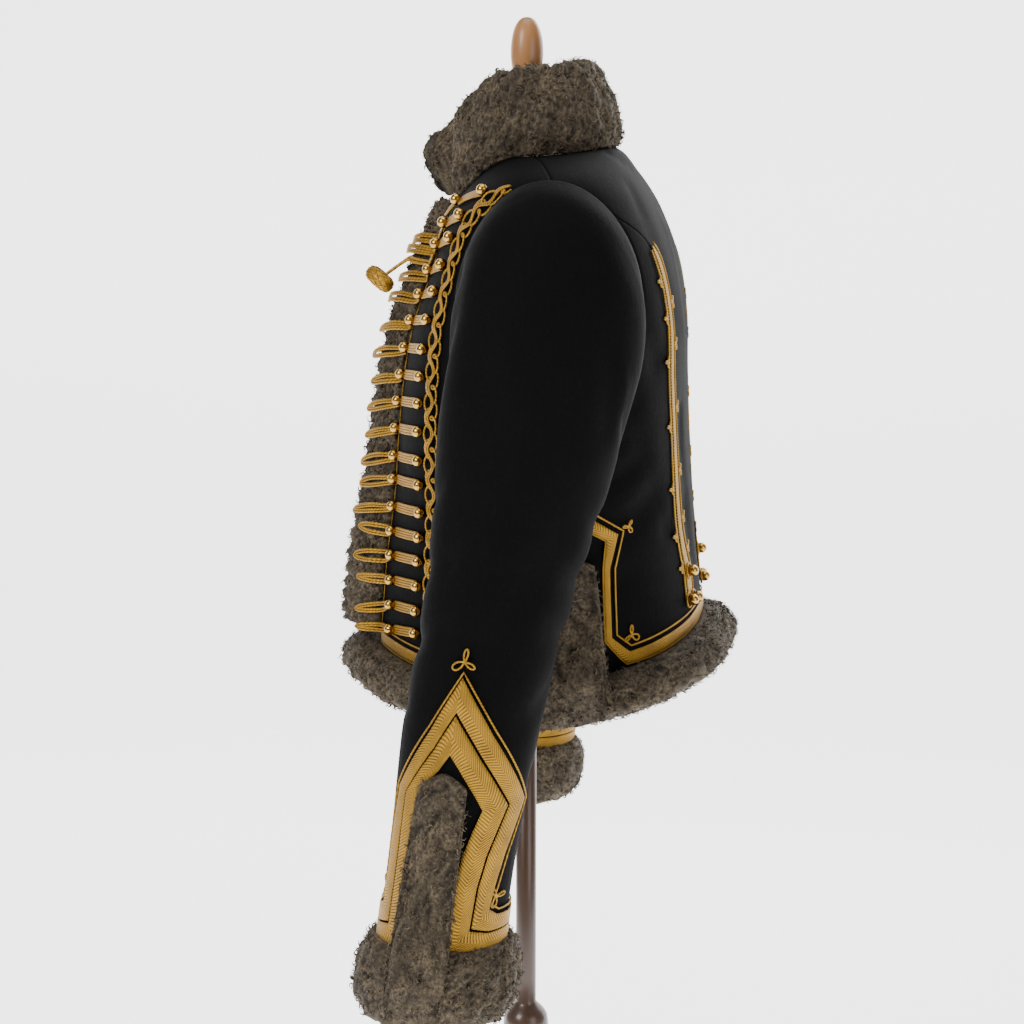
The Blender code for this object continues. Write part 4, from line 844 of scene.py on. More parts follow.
def add_node(tree, kind, settings=None, sockets=None):
    """A node of a kind, with its settings made first and its sockets fed after."""
    node = tree.nodes.new(kind)
    for key, value in (settings or {}).items():
        setattr(node, key, value)
    for key, value in (sockets or {}).items():
        feed(tree, node.inputs[key], value)
    return node


class Term:
    """A number that varies over a surface, so that shader maths reads as ordinary expressions."""

    def __init__(self, finish, socket):
        self.finish = finish
        self.socket = socket

    def _do(self, operation, *values):
        node = self.finish.add("ShaderNodeMath", {"operation": operation})
        for socket, value in zip(node.inputs, values):
            feed(self.finish.tree, socket, value)
        return Term(self.finish, node.outputs[0])

    def __add__(self, other):
        return self._do("ADD", self, other)

    def __sub__(self, other):
        return self._do("SUBTRACT", self, other)

    def __mul__(self, other):
        return self._do("MULTIPLY", self, other)

    def __truediv__(self, other):
        return self._do("DIVIDE", self, other)

    def __rsub__(self, other):
        return self._do("SUBTRACT", other, self)

    def __rtruediv__(self, other):
        return self._do("DIVIDE", other, self)

    def __pow__(self, other):
        return self._do("POWER", self, other)

    __radd__ = __add__
    __rmul__ = __mul__

    def sine(self):
        return self._do("SINE", self)

    def size(self):
        return self._do("ABSOLUTE", self)

    def clamped(self):
        return self._do("MINIMUM", self._do("MAXIMUM", self, 0.0), 1.0)

    def wave(self, length):
        """0 to 1 and back once for each length."""
        return (self * (2.0 * math.pi / length)).sine() * 0.5 + 0.5


class Finish:
    """A material built up node by node round one shader."""

    def __init__(self, name, **constants):
        self.material = bpy.data.materials.new(name)
        self.material.use_nodes = True
        self.tree = self.material.node_tree
        self.tree.nodes.clear()
        self.shader = self.add("ShaderNodeBsdfPrincipled")
        out = self.add("ShaderNodeOutputMaterial")
        self.tree.links.new(self.shader.outputs[0], out.inputs["Surface"])
        for socket, value in constants.items():
            self.shader.inputs[socket.replace("_", " ").title().replace("Ior", "IOR")].default_value = value

    def add(self, kind, settings=None, sockets=None):
        return add_node(self.tree, kind, settings, sockets)

    def where(self, stretch=(1.0, 1.0, 1.0)):
        """Object coordinates, stretched."""
        place = self.add("ShaderNodeTexCoord").outputs["Object"]
        return self.add("ShaderNodeMapping", sockets={"Vector": place, "Scale": stretch}).outputs[0]

    def flat(self):
        """The UV map's two directions, in metres."""
        place = self.add("ShaderNodeTexCoord").outputs["UV"]
        parts = self.add("ShaderNodeSeparateXYZ", sockets={"Vector": place})
        return Term(self, parts.outputs[0]), Term(self, parts.outputs[1])

    def cloud(self, scale, detail=2.0, stretch=(1.0, 1.0, 1.0), roughness=0.5):
        """Soft noise from 0 to 1."""
        sockets = {"Vector": self.where(stretch), "Scale": scale, "Detail": detail, "Roughness": roughness}
        return Term(self, self.add("ShaderNodeTexNoise", sockets=sockets).outputs[0])

    def attribute(self, name):
        return Term(self, self.add("ShaderNodeAttribute", {"attribute_name": name}).outputs["Fac"])

    def mix(self, share, first, second):
        node = self.add("ShaderNodeMix", {"data_type": "RGBA"})
        feed(self.tree, node.inputs["Factor"], share)
        for socket, value in zip([s for s in node.inputs if s.type == "RGBA"], (first, second)):
            feed(self.tree, socket, value if isinstance(value, bpy.types.NodeSocket) else (*value, 1.0))
        return [s for s in node.outputs if s.type == "RGBA"][0]

    def bump(self, height, distance, strength=1.0):
        node = self.add("ShaderNodeBump", sockets={"Height": height, "Distance": distance, "Strength": strength})
        self.tree.links.new(node.outputs[0], self.shader.inputs["Normal"])

    def paint(self, **sockets):
        for key, value in sockets.items():
            feed(self.tree, self.shader.inputs[key.replace("_", " ").title()], value)
        return self.material


def tinted(colour, share):
    return tuple(c * share for c in colour)


def broadcloth_finish(colours):
    cloth = tuple(colours.cloth)
    f = Finish("broadcloth", sheen_weight=0.004, sheen_roughness=0.45, specular_ior_level=0.07)
    nap = f.cloud(900.0, 3.0)
    felt = f.cloud(260.0, 2.0, (1.0, 1.0, 0.45))
    wear = f.cloud(14.0, 3.0)
    share = (nap * 0.6 + felt * 0.5 + wear * 0.5 - 0.25).clamped()
    f.bump(nap * 0.6 + felt, 0.0006, 0.45)
    return f.paint(base_color=f.mix(share, tinted(cloth, 0.50), tinted(cloth, 1.9)), roughness=0.70 + 0.22 * nap)


def lambskin_finish(colours):
    f = Finish("lambskin", sheen_weight=0.02, sheen_roughness=0.6, specular_ior_level=0.18)
    rise = f.attribute("rise")
    patch = f.cloud(45.0, 2.0)
    fleck = f.cloud(420.0, 2.0)
    light = f.mix((patch * 1.6 - 0.3).clamped(), tinted(colours.fur, 0.70), tinted(colours.fur, 2.5))
    lit = f.mix((fleck * 2.2 - 0.7).clamped(), tinted(colours.fur, 0.34), light)
    f.bump(fleck, 0.0008, 0.5)
    # Painted shade: where the rise is low, in the relief's valleys and at the feet of the locks, the fur is mixed
    # towards its painted shade colour
    fur = f.mix((rise * 1.15).clamped(), tuple(colours.fur_painted_shade), lit)
    return f.paint(base_color=fur, roughness=0.62 + 0.25 * fleck)


def lace_finish(colours):
    """Woven lace: chevrons of gold thread across the strip, with fine warp lines along it."""
    f = Finish("gold_lace", metallic=0.72, specular_ior_level=0.5)
    across, along = f.flat()
    chevron = (along + across.size() * 0.9).wave(0.0026)
    warp = across.wave(0.0011)
    tarnish = f.cloud(60.0, 3.0)
    height = (chevron * 0.75 + warp * 0.35 - 0.08).clamped()
    f.bump(height, 0.0006, 0.8)
    # Painted shade: the low parts of the weave are mixed towards the dark gold as shade, together with the random
    # tarnish
    share = (height * 0.9 + tarnish * 0.7 - 0.18).clamped()
    gold = f.mix(share, tuple(colours.gold_shade_and_tarnish), tinted(colours.gold, 1.25))
    return f.paint(base_color=gold, roughness=0.50 - 0.14 * chevron + 0.10 * tarnish)


def cord_finish(colours):
    """Twisted cord: strands that wind round the length."""
    f = Finish("gold_cord", metallic=0.74, specular_ior_level=0.5)
    around, along = f.flat()
    strand = (along / 0.0022 + around).wave(1.0)
    fine = (along / 0.0008 - around * 3.0).wave(1.0)
    tarnish = f.cloud(70.0, 2.0)
    f.bump(strand + fine * 0.25, 0.0004, 0.5)
    # Painted shade: the grooves between the strands are mixed towards the dark gold as shade, together with the random
    # tarnish
    share = (strand * 0.40 + fine * 0.2 + tarnish * 0.5 + 0.12).clamped()
    gold = f.mix(share, tuple(colours.gold_shade_and_tarnish), tinted(colours.gold, 1.2))
    return f.paint(base_color=gold, roughness=0.46 - 0.12 * strand + 0.12 * tarnish)


def brass_finish(colours):
    f = Finish("gilt_button", metallic=1.0)
    rub = f.cloud(220.0, 3.0)
    f.bump(rub, 0.0002, 0.15)
    brass = f.mix((rub * 1.4 - 0.2).clamped(), tinted(colours.brass, 0.72), tuple(colours.brass))
    return f.paint(base_color=brass, roughness=0.15 + 0.20 * rub)


def linen_finish(colours):
    f = Finish("form_linen", sheen_weight=0.1, specular_ior_level=0.25)
    across, along = f.flat()
    weave = across.wave(0.0012) * 0.5 + along.wave(0.0012) * 0.5
    slub = f.cloud(90.0, 3.0)
    f.bump(weave, 0.0004, 0.5)
    linen = f.mix((weave * 0.5 + slub * 0.6).clamped(), tinted(colours.linen, 0.8), tinted(colours.linen, 1.08))
    return f.paint(base_color=linen, roughness=0.78 + 0.12 * weave)


def wood_finish(name, colour, gloss):
    f = Finish(name, coat_roughness=0.22, coat_weight=gloss, specular_ior_level=0.4)
    grain = f.cloud(60.0, 4.0, (1.0, 1.0, 0.07), 0.6)
    pore = f.cloud(900.0, 2.0, (1.0, 1.0, 0.05))
    share = (grain * 1.7 - 0.35 + pore * 0.25).clamped()
    f.bump(grain + pore * 0.5, 0.0004, 0.25)
    return f.paint(base_color=f.mix(share, tinted(colour, 0.55), tinted(colour, 1.15)), roughness=0.34 + 0.18 * grain)


def floor_finish(colours):
    f = Finish("pale_floor", specular_ior_level=0.1, emission_strength=2.2)
    f.shader.inputs["Emission Color"].default_value = (1.0, 1.0, 1.0, 1.0)
    mottle = f.cloud(3.0, 2.0)
    pale = f.mix(mottle, tinted(colours.floor, 0.99), tuple(colours.floor))
    return f.paint(base_color=pale, roughness=0.85 + 0.05 * mottle)


FINISHES = {}


def finish(name):
    """The coat's finishes, each made once."""
    if name not in FINISHES:
        colours = bpy.context.scene.pelisse_colours
        makers = {
            "broadcloth": broadcloth_finish, "lambskin": lambskin_finish, "lace": lace_finish, "cord": cord_finish,
            "brass": brass_finish, "linen": linen_finish, "floor": floor_finish,
            "pole": lambda c: wood_finish("pole_wood", tuple(c.pole), 0.5),
            "finial": lambda c: wood_finish("light_wood", tuple(c.finial), 0.25),
        }
        FINISHES[name] = makers[name](colours)
    return FINISHES[name]


def laid_grid(columns, rows, place, size=(1.0, 1.0), joined=False, capped=False, marks=None):
    """A grid laid over a surface: place(across, along) gives each vertex, and the UV map its flat place in metres."""
    work = bmesh.new()
    flat = work.loops.layers.uv.new("UVMap")
    bmesh.ops.create_grid(work, x_segments=columns, y_segments=rows, size=0.5)
    for face in work.faces:
        for loop in face.loops:
            loop[flat].uv = ((loop.vert.co.x + 0.5) * size[0], (loop.vert.co.y + 0.5) * size[1])
    for name, value in (marks or {}).items():
        layer = work.verts.layers.float.new(name)
        for vert in work.verts:
            vert[layer] = value(vert.co.x + 0.5, vert.co.y + 0.5)
    for vert in work.verts:
        vert.co = place(vert.co.x + 0.5, vert.co.y + 0.5)
    if joined:
        bmesh.ops.remove_doubles(work, verts=work.verts, dist=0.000002)
    if capped:
        bmesh.ops.holes_fill(work, edges=[e for e in work.edges if e.is_boundary], sides=0)
        bmesh.ops.recalc_face_normals(work, faces=work.faces)
    work.normal_update()
    return work


def laid_strip(columns, rows, place, width, runs, low, high, joined=False):
    """A strip with a thickness: place(across, along, out) gives its faces, at the heights low and high."""
    work = bmesh.new()
    flat = work.loops.layers.uv.new("UVMap")
    bmesh.ops.create_grid(work, x_segments=columns, y_segments=rows, size=0.5)
    for face in work.faces:
        for loop in face.loops:
            loop[flat].uv = (loop.vert.co.x * width, runs[round((loop.vert.co.y + 0.5) * rows)])
    grown = bmesh.ops.extrude_face_region(work, geom=work.faces[:], use_keep_orig=True)
    lower = {entry for entry in grown["geom"] if isinstance(entry, bmesh.types.BMVert)}
    if joined:
        ends = [f for f in work.faces if all(abs(v.co.y) > 0.4999 for v in f.verts)]
        bmesh.ops.delete(work, geom=ends, context="FACES")
    for vert in work.verts:
        vert.co = place(vert.co.x + 0.5, vert.co.y + 0.5, low if vert in lower else high)
    if joined:
        bmesh.ops.remove_doubles(work, verts=work.verts, dist=0.000002)
    bmesh.ops.recalc_face_normals(work, faces=work.faces)
    return work


def run_lengths(points):
    """How far along a line each of its points lies."""
    runs = [0.0]
    for a, b in zip(points, points[1:]):
        runs.append(runs[-1] + (b - a).length)
    return runs


def turned_away(work, middle):
    """An open sheet with its faces turned away from an upright line through its middle."""
    total = 0.0
    for face in work.faces:
        away = face.calc_center_median() - middle
        away.z = 0.0
        total += face.normal.dot(away)
    if total < 0:
        bmesh.ops.reverse_faces(work, faces=work.faces)
    return work


def mirrored_work(work):
    """A copy on the wearer's right."""
    other = work.copy()
    bmesh.ops.scale(other, vec=(-1.0, 1.0, 1.0), verts=other.verts)
    bmesh.ops.reverse_faces(other, faces=other.faces)
    return other


def assemble(name, parts, replaced=()):
    """One piece from several meshes, each with its finish."""
    whole = bmesh.new()
    worn = []
    for work, finish_name in parts:
        if finish_name not in worn:
            worn.append(finish_name)
        for face in work.faces:
            face.material_index = worn.index(finish_name)
            face.smooth = True
        carrier = bpy.data.meshes.new("carrier")
        work.to_mesh(carrier)
        work.free()
        whole.from_mesh(carrier)
        bpy.data.meshes.remove(carrier)
    if not whole.faces:
        raise RuntimeError(name + " has no faces")
    mesh = bpy.data.meshes.new(name)
    whole.to_mesh(mesh)
    whole.free()
    for finish_name in worn:
        mesh.materials.append(finish(finish_name))
    piece = bpy.data.objects.new(name, mesh)
    bpy.context.scene.collection.objects.link(piece)
    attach(piece, "root")
    if replaced:
        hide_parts(*replaced)
    return piece


def assemble_pair(name, parts, replaced=None, number=""):
    """A piece of the wearer's left and its mirror image on the right, which stand for the solids of a name, if any."""
    other = [(mirrored_work(work), finish_name) for work, finish_name in parts]
    for side, made in (("_l", parts), ("_r", other)):
        assemble(name + side + number, made, (replaced + side + number,) if replaced else ())


def tube(points, radius, sides=6, closed=False, taper=None):
    """A round cord along points. The UV map runs once round it and its length along it, in metres."""
    count = len(points)
    aheads = []
    for k in range(count):
        before = points[k - 1] if k or closed else points[k]
        after = points[(k + 1) % count] if k < count - 1 or closed else points[k]
        aheads.append((after - before).normalized())
    side = aheads[0].orthogonal().normalized()
    frames = []
    for ahead in aheads:
        side = (side - ahead * side.dot(ahead)).normalized()
        frames.append((side, ahead.cross(side)))
    length = sum((b - a).length for a, b in zip(points, points[1:]))
    rows = count if closed else count - 1

    def place(across, along):
        k = round(along * rows) % count if closed else round(along * rows)
        angle = 2.0 * math.pi * (round(across * sides) % sides) / sides
        wide = radius * (taper(along) if taper else 1.0)
        return points[k] + (frames[k][0] * math.cos(angle) + frames[k][1] * math.sin(angle)) * wide

    return laid_grid(sides, rows, place, (1.0, length), joined=True, capped=True)


def smooth_path(points, parts=4):
    """A finer path through points."""
    table = [tuple(p) for p in points]
    count = (len(points) - 1) * parts
    return [Vector(spline(table, k / parts)) for k in range(count + 1)]


def ball(centre, out, radius):
    """A ball button: a sphere with a shallow seam round its middle."""
    work = bmesh.new()
    work.loops.layers.uv.new("UVMap")
    bmesh.ops.create_uvsphere(work, u_segments=16, v_segments=12, radius=radius)
    for vert in work.verts:
        seam = math.exp(-((vert.co.z / radius - 0.05) / 0.08) ** 2)
        vert.co *= 1.0 - 0.05 * seam
    turned = Vector((0, 0, 1)).rotation_difference(out).to_matrix()
    bmesh.ops.rotate(work, verts=work.verts, matrix=turned)
    bmesh.ops.translate(work, verts=work.verts, vec=centre)
    return work


def rose(centre, across, along, size, petals=3, turn=0.0, steps=22):
    """Points of a flat knot of an odd number of open loops round a centre."""
    points = []
    count = steps * petals
    for k in range(count):
        angle = math.pi * k / count
        wave = math.sin(petals * angle)
        reach = size * math.copysign(abs(wave) ** 0.62, wave)
        angle += turn + 0.12 * math.cos(petals * angle)
        points.append(centre + (across * math.cos(angle) + along * math.sin(angle)) * reach)
    return points


# Folds of the coat's body: from turn and level, to turn and level, half width and depth; below zero goes in
BODY_FOLDS = (
    (96.0, 8.6, 140.0, 7.9, 0.011, -0.0030), (100.0, 7.6, 136.0, 7.2, 0.009, -0.0022),
    (92.0, 9.2, 128.0, 9.0, 0.010, -0.0024),
    (104.0, 6.2, 133.0, 6.9, 0.010, -0.0020), (128.0, 3.4, 142.0, 5.6, 0.012, -0.0028),
    (118.0, 4.2, 131.0, 6.3, 0.009, -0.0018),
    (150.0, 2.4, 158.0, 5.0, 0.014, -0.0016), (166.0, 6.6, 172.0, 9.2, 0.012, -0.0022),
    (176.0, 3.4, 178.0, 6.0, 0.014, 0.0010),
    (146.0, 8.4, 168.0, 8.1, 0.009, -0.0018), (60.0, 6.0, 84.0, 7.4, 0.012, -0.0022),
    (63.0, 8.1, 92.0, 7.7, 0.010, -0.0024),
    (66.0, 4.6, 80.0, 6.0, 0.010, -0.0018), (34.0, 1.0, 52.0, 2.0, 0.012, -0.0010),
    (150.0, 0.8, 165.0, 1.6, 0.014, -0.0012),
    (36.0, 4.4, 46.0, 5.2, 0.009, -0.0007), (33.0, 7.4, 45.0, 7.9, 0.009, -0.0008),
)

# Folds of a sleeve: from turn and ring, to turn and ring, half width and depth
SLEEVE_FOLDS = (
    (-150.0, 5.2, -70.0, 6.3, 0.011, -0.0042), (-160.0, 6.3, -64.0, 6.9, 0.010, -0.0036),
    (-150.0, 4.3, -86.0, 5.4, 0.011, -0.0034),
    (40.0, 6.2, 150.0, 5.6, 0.012, -0.0040), (30.0, 7.0, 140.0, 6.7, 0.010, -0.0036),
    (60.0, 5.2, 165.0, 4.6, 0.011, -0.0030),
    (-60.0, 0.7, -20.0, 2.4, 0.016, -0.0018), (18.0, 0.8, 34.0, 2.6, 0.015, -0.0015),
    (70.0, 0.9, 96.0, 3.4, 0.013, -0.0028),
    (104.0, 1.2, 124.0, 3.6, 0.011, -0.0026), (-112.0, 1.0, -94.0, 3.6, 0.014, -0.0030),
    (-30.0, 4.2, -6.0, 7.3, 0.018, -0.0022),
    (-52.0, 3.0, -40.0, 6.4, 0.014, -0.0024), (26.0, 3.8, 40.0, 6.4, 0.016, -0.0020),
    (-4.0, 6.0, 8.0, 7.1, 0.014, 0.0012),
    (-96.0, 7.2, -52.0, 8.0, 0.010, -0.0024), (72.0, 7.8, 128.0, 7.5, 0.010, -0.0026),
    (-150.0, 8.3, -96.0, 8.7, 0.009, -0.0018),
    (90.0, 9.1, 150.0, 8.8, 0.009, -0.0020), (-74.0, 3.2, -60.0, 4.9, 0.009, 0.0014),
    (150.0, 1.4, 200.0, 3.0, 0.012, -0.0030),
)
BODY_TURN_LENGTH = 0.0027
BODY_LEVEL_LENGTH = 0.047
SLEEVE_TURN_LENGTH = 0.00092
SLEEVE_RING_LENGTH = 0.060


def fold_height(table, turn, level, turn_length, level_length, other_side):
    """How far the folds bring the cloth in or out at a place."""
    degrees = math.degrees(turn)
    total = 0.0
    for k, (turn0, level0, turn1, level1, wide, deep) in enumerate(table):
        if other_side:
            deep *= 0.75 + 0.5 * math.sin(3.0 * k + 1.0) ** 2
            level0 += 0.16 * math.sin(5.0 * k)
            level1 -= 0.14 * math.sin(4.0 * k)
        x, y = (degrees - turn0) * turn_length, (level - level0) * level_length
        if x > 0.2:
            x -= 360.0 * turn_length
        run_x, run_y = (turn1 - turn0) * turn_length, (level1 - level0) * level_length
        share = max(0.0, min(1.0, (x * run_x + y * run_y) / (run_x * run_x + run_y * run_y)))
        bow = 0.10 * math.sin(math.pi * share)
        off_x, off_y = x - run_x * share + run_y * bow, y - run_y * share - run_x * bow
        spread = wide * (0.75 + 0.45 * share)
        distance = (off_x * off_x + off_y * off_y) / (spread * spread)
        if distance < 6.0:
            total += deep * math.exp(-distance) * (0.85 + 0.25 * math.sin(9.0 * share + k))
    return total


def finer(values, parts):
    out = []
    for start, end in zip(values, values[1:]):
        out += [start + (end - start) * k / parts for k in range(parts)]
    return out + [values[-1]]


def fine_levels():
    """Levels above the armhole and below it, close together."""
    top = armhole_place(0, False)[1]
    low = armhole_place(180, False)[1]
    return finer(upper_levels() + [top], 5)[:-1], finer([low] + lower_levels(), 8)[1:]


def front_rows():
    upper, lower = fine_levels()
    rows = [(u, front_edge_turn(u), along(shoulder_seam_turn(u), u, -SEAM_HALF)) for u in upper]
    for degrees in range(0, 181, 4):
        turn, level = armhole_place(degrees, False)
        rows.append((level, front_edge_turn(level), along(turn, level, -SEAM_HALF)))
    return rows + [(u, front_edge_turn(u), along(side_seam_turn(u), u, -SEAM_HALF)) for u in lower]


def curved_seam_turn(degrees, turn, level):
    """The back seam's turn where it curves out of the armhole and down to its straight run."""
    share = min(1.0, max(0.0, (degrees - SEAM_START_TURN) / SEAM_CURVE_TURN))
    return turn + (back_seam_turn(level) - turn) * share * share * (3.0 - 2.0 * share)


def side_back_rows():
    rows = []
    for degrees in range(SEAM_START_TURN, 181, 4):
        turn, level = armhole_place(degrees, True)
        first = along(turn, level, SEAM_HALF)
        last = along(curved_seam_turn(degrees, turn, level), level, -SEAM_HALF)
        rows.append((level, first, max(last, first + 0.0002)))
    for u in fine_levels()[1]:
        rows.append((u, along(side_seam_turn(u), u, SEAM_HALF), along(back_seam_turn(u), u, -SEAM_HALF)))
    return rows


def back_rows():
    upper, lower = fine_levels()
    rows = [(u, along(shoulder_seam_turn(u), u, SEAM_HALF)) for u in upper]
    for degrees in range(0, 181, 4):
        turn, level = armhole_place(degrees, True)
        turn = curved_seam_turn(degrees, turn, level)
        rows.append((level, along(turn, level, SEAM_HALF)))
    rows += [(u, along(back_seam_turn(u), u, SEAM_HALF)) for u in lower]
    return [(level, turn, 2 * math.pi - turn) for level, turn in rows]


# Dip of a seam: depth, and half width; a sleeve has one in front and one behind
SEAM_GROOVE = 0.0007
SEAM_WIDTH = 0.0016
SLEEVE_SEAM_TURNS = (118.0, 246.0)


def cut_panel(name, rows, columns, flat, flip=False):
    """A panel of cloth laid over the coat's face, with its folds and the dip of its seams."""
    deep = bpy.context.scene.pelisse_sizes.fold

    def place(across, along_share):
        level, first, last = rows[round(along_share * (len(rows) - 1))]
        turn = first + (last - first) * across
        side = turn if turn <= math.pi else 2 * math.pi - turn
        other = flip or turn > math.pi
        lift = deep * fold_height(BODY_FOLDS, side, level, BODY_TURN_LENGTH, BODY_LEVEL_LENGTH, other)
        wide = (last - first) * 0.155
        edge = min(across, 1.0 - across) * wide
        lift -= SEAM_GROOVE * math.exp(-(edge / SEAM_WIDTH) ** 2)
        p = body(turn, level, lift)
        return Vector((-p.x, p.y, p.z)) if flip else p

    work = laid_grid(columns, len(rows) - 1, place, flat[:2])
    turned_away(work, Vector((0.0, 0.02, 1.2)))
    hang_cloth(name, work)


def hang_cloth(name, work):
    """A piece of cloth from its outer face, given its thickness inwards."""
    piece = assemble(name + "_cloth", [(work, "broadcloth")], (name,))
    wall = piece.modifiers.new("wall", "SOLIDIFY")
    wall.thickness = bpy.context.scene.pelisse_sizes.cloth
    wall.offset = -1.0
    wall.use_even_offset = True
    settle(piece)


def settle(piece):
    """Leaves a piece with its modifiers taken into its mesh."""
    graph = bpy.context.evaluated_depsgraph_get()
    made = bpy.data.meshes.new_from_object(piece.evaluated_get(graph))
    old = piece.data
    piece.modifiers.clear()
    piece.data = made
    bpy.data.meshes.remove(old)
    made.name = piece.name


# Flat cut of each piece of cloth: width, length and area
FLAT_CUTS = {
    "back": (0.335, 0.430, 0.087), "front": (0.270, 0.450, 0.082), "side_back": (0.150, 0.390, 0.039),
    "sleeve": (0.440, 0.660, 0.204),
}


def cut_sleeve(name, flip):
    """A sleeve: a few rows from the armhole to its first ring, then its rings with their folds and two seams."""
    deep = bpy.context.scene.pelisse_sizes.fold
    head = 4
    rings = finer([float(k) for k in range(len(SLEEVE_RINGS))], 8)
    columns = 72
    armhole = []
    for k in range(columns):
        degrees = 360.0 * k / columns
        back = degrees > 180
        turn, level = armhole_place(360 - degrees if back else degrees, back, 0.0005)
        armhole.append(body(turn, level))
    rows = len(rings) - 1 + head

    def place(across, along_share):
        column = round(across * columns) % columns
        turn = 2.0 * math.pi * column / columns
        row = round(along_share * rows)
        if row < head:
            p = armhole[column].lerp(sleeve(turn, 0.0), row / head)
        else:
            ring = rings[row - head]
            lift = deep * fold_height(SLEEVE_FOLDS, turn, ring, SLEEVE_TURN_LENGTH, SLEEVE_RING_LENGTH, flip)
            for seam in SLEEVE_SEAM_TURNS:
                off = abs(math.degrees(turn) - seam) * SLEEVE_TURN_LENGTH
                lift -= SEAM_GROOVE * math.exp(-(off / SEAM_WIDTH) ** 2)
            p = sleeve(turn, ring, lift)
        return swung([p])[0] if flip else p

    flat = FLAT_CUTS["sleeve"]
    work = laid_grid(columns, rows, place, flat[:2], joined=True)
    turned_away(work, sum((v.co for v in work.verts), Vector()) / len(work.verts))
    hang_cloth(name, work)


def curl_shape(length):
    """One small lock: a short hooked cord that thins to its tip."""
    points = []
    for k in range(7):
        share = k / 6
        angle = 4.6 * share
        reach = length * 0.30 * (1.0 - 0.35 * share)
        tall = length * 0.50 * share ** 0.8 - 0.0012
        points.append(Vector((reach * math.sin(angle), reach * (1 - math.cos(angle)) * 0.7, tall)))
    return tube(points, length * 0.115, 3, taper=lambda share: 1.05 - 0.75 * share)


def hair_shape(length):
    """One loose hair: a narrow blade that bends and thins to its tip."""
    def place(across, along_share):
        wide = 0.0006 * (1.0 - 0.9 * along_share)
        return Vector(((across - 0.5) * wide, length * 0.22 * along_share ** 2, length * 0.62 * along_share - 0.001))

    return laid_grid(1, 2, place)


def tuft_object(name, work):
    """A lock that is scattered over the fur; the fur's operator removes it once the fur is laid."""
    # The rise grows from the lock's foot to its tip, and the lambskin finish paints shade at the foot where it is low
    rise = work.verts.layers.float.new("rise")
    low = min(v.co.z for v in work.verts)
    high = max(v.co.z for v in work.verts)
    for vert in work.verts:
        vert[rise] = 0.35 + 0.75 * (vert.co.z - low) / (high - low)
    mesh = bpy.data.meshes.new(name)
    for face in work.faces:
        face.smooth = True
    work.to_mesh(mesh)
    work.free()
    mesh.materials.append(finish("lambskin"))
    made = bpy.data.objects.new(name, mesh)
    bpy.context.scene.collection.objects.link(made)
    return made


SPREAD_SEED, LEAN_SEED, SIZE_SEED = 11, 31, 51
LOCK_LEAN = 0.75


def scatter_group(name, tufts):
    """Geometry nodes that stand locks on a skin, at the density that the skin's attribute asks."""
    group = bpy.data.node_groups.new(name, "GeometryNodeTree")
    group.interface.new_socket("Geometry", in_out="INPUT", socket_type="NodeSocketGeometry")
    group.interface.new_socket("Geometry", in_out="OUTPUT", socket_type="NodeSocketGeometry")
    start = add_node(group, "NodeGroupInput")
    end = add_node(group, "NodeGroupOutput")
    join = add_node(group, "GeometryNodeJoinGeometry", sockets={0: start.outputs[0]})
    share = add_node(group, "GeometryNodeInputNamedAttribute", {"data_type": "FLOAT"}, {"Name": "fleece"})
    for k, (tuft, density, low, high) in enumerate(tufts):
        amount = add_node(group, "ShaderNodeMath", {"operation": "MULTIPLY"}, {0: share.outputs[0], 1: density})
        spread = add_node(group, "GeometryNodeDistributePointsOnFaces", sockets={
            "Mesh": start.outputs[0], "Density": amount.outputs[0], "Seed": SPREAD_SEED + k,
        })
        shape = add_node(group, "GeometryNodeObjectInfo", sockets={"Object": tuft})
        lean = add_node(group, "FunctionNodeRandomValue", {"data_type": "FLOAT_VECTOR"}, {
            0: (-LOCK_LEAN, -LOCK_LEAN, 0.0), 1: (LOCK_LEAN, LOCK_LEAN, 6.28), "Seed": LEAN_SEED + k,
        })
        turn = add_node(group, "FunctionNodeEulerToRotation", sockets={0: lean.outputs[0]})
        turned = add_node(group, "FunctionNodeRotateRotation", {"rotation_space": "LOCAL"}, {
            0: spread.outputs["Rotation"], 1: turn.outputs[0],
        })
        size = add_node(group, "FunctionNodeRandomValue", {"data_type": "FLOAT"}, {
            2: low, 3: high, "Seed": SIZE_SEED + k,
        })
        stand = add_node(group, "GeometryNodeInstanceOnPoints", sockets={
            "Points": spread.outputs["Points"], "Instance": shape.outputs["Geometry"], "Rotation": turned.outputs[0],
            "Scale": size.outputs[1],
        })
        real = add_node(group, "GeometryNodeRealizeInstances", sockets={0: stand.outputs[0]})
        group.links.new(real.outputs[0], join.inputs[0])
    group.links.new(join.outputs[0], end.inputs[0])
    return group


def rounded(loop, outer, parts):
    """A fur section made finer: its first points outside on a curve, the rest inside straight."""
    outside = [tuple(p) for p in loop[:outer]]
    made = [Vector(spline(outside, k / parts)) for k in range((outer - 1) * parts + 1)]
    weight = [1.0] * len(made)
    weight[0] = 0.6
    inside = loop[outer:] + loop[:1]
    here = loop[outer - 1]
    for point in inside:
        for k in range(1, 3):
            made.append(here.lerp(point, k / 2))
            weight.append(0.25 if point is inside[0] else 0.0)
        here = point
    return made[:-1], weight[:-1]


# The relief of the fur: waves to the metre, and depth
FUR_SWELL = (95.0, 0.0012)
FUR_RIDGE = (210.0, 0.0014)
FUR_WARP = (120.0, 0.0022)
# Seed of the relief's noise, so that each run gives the same fur
FUR_SEED = 5


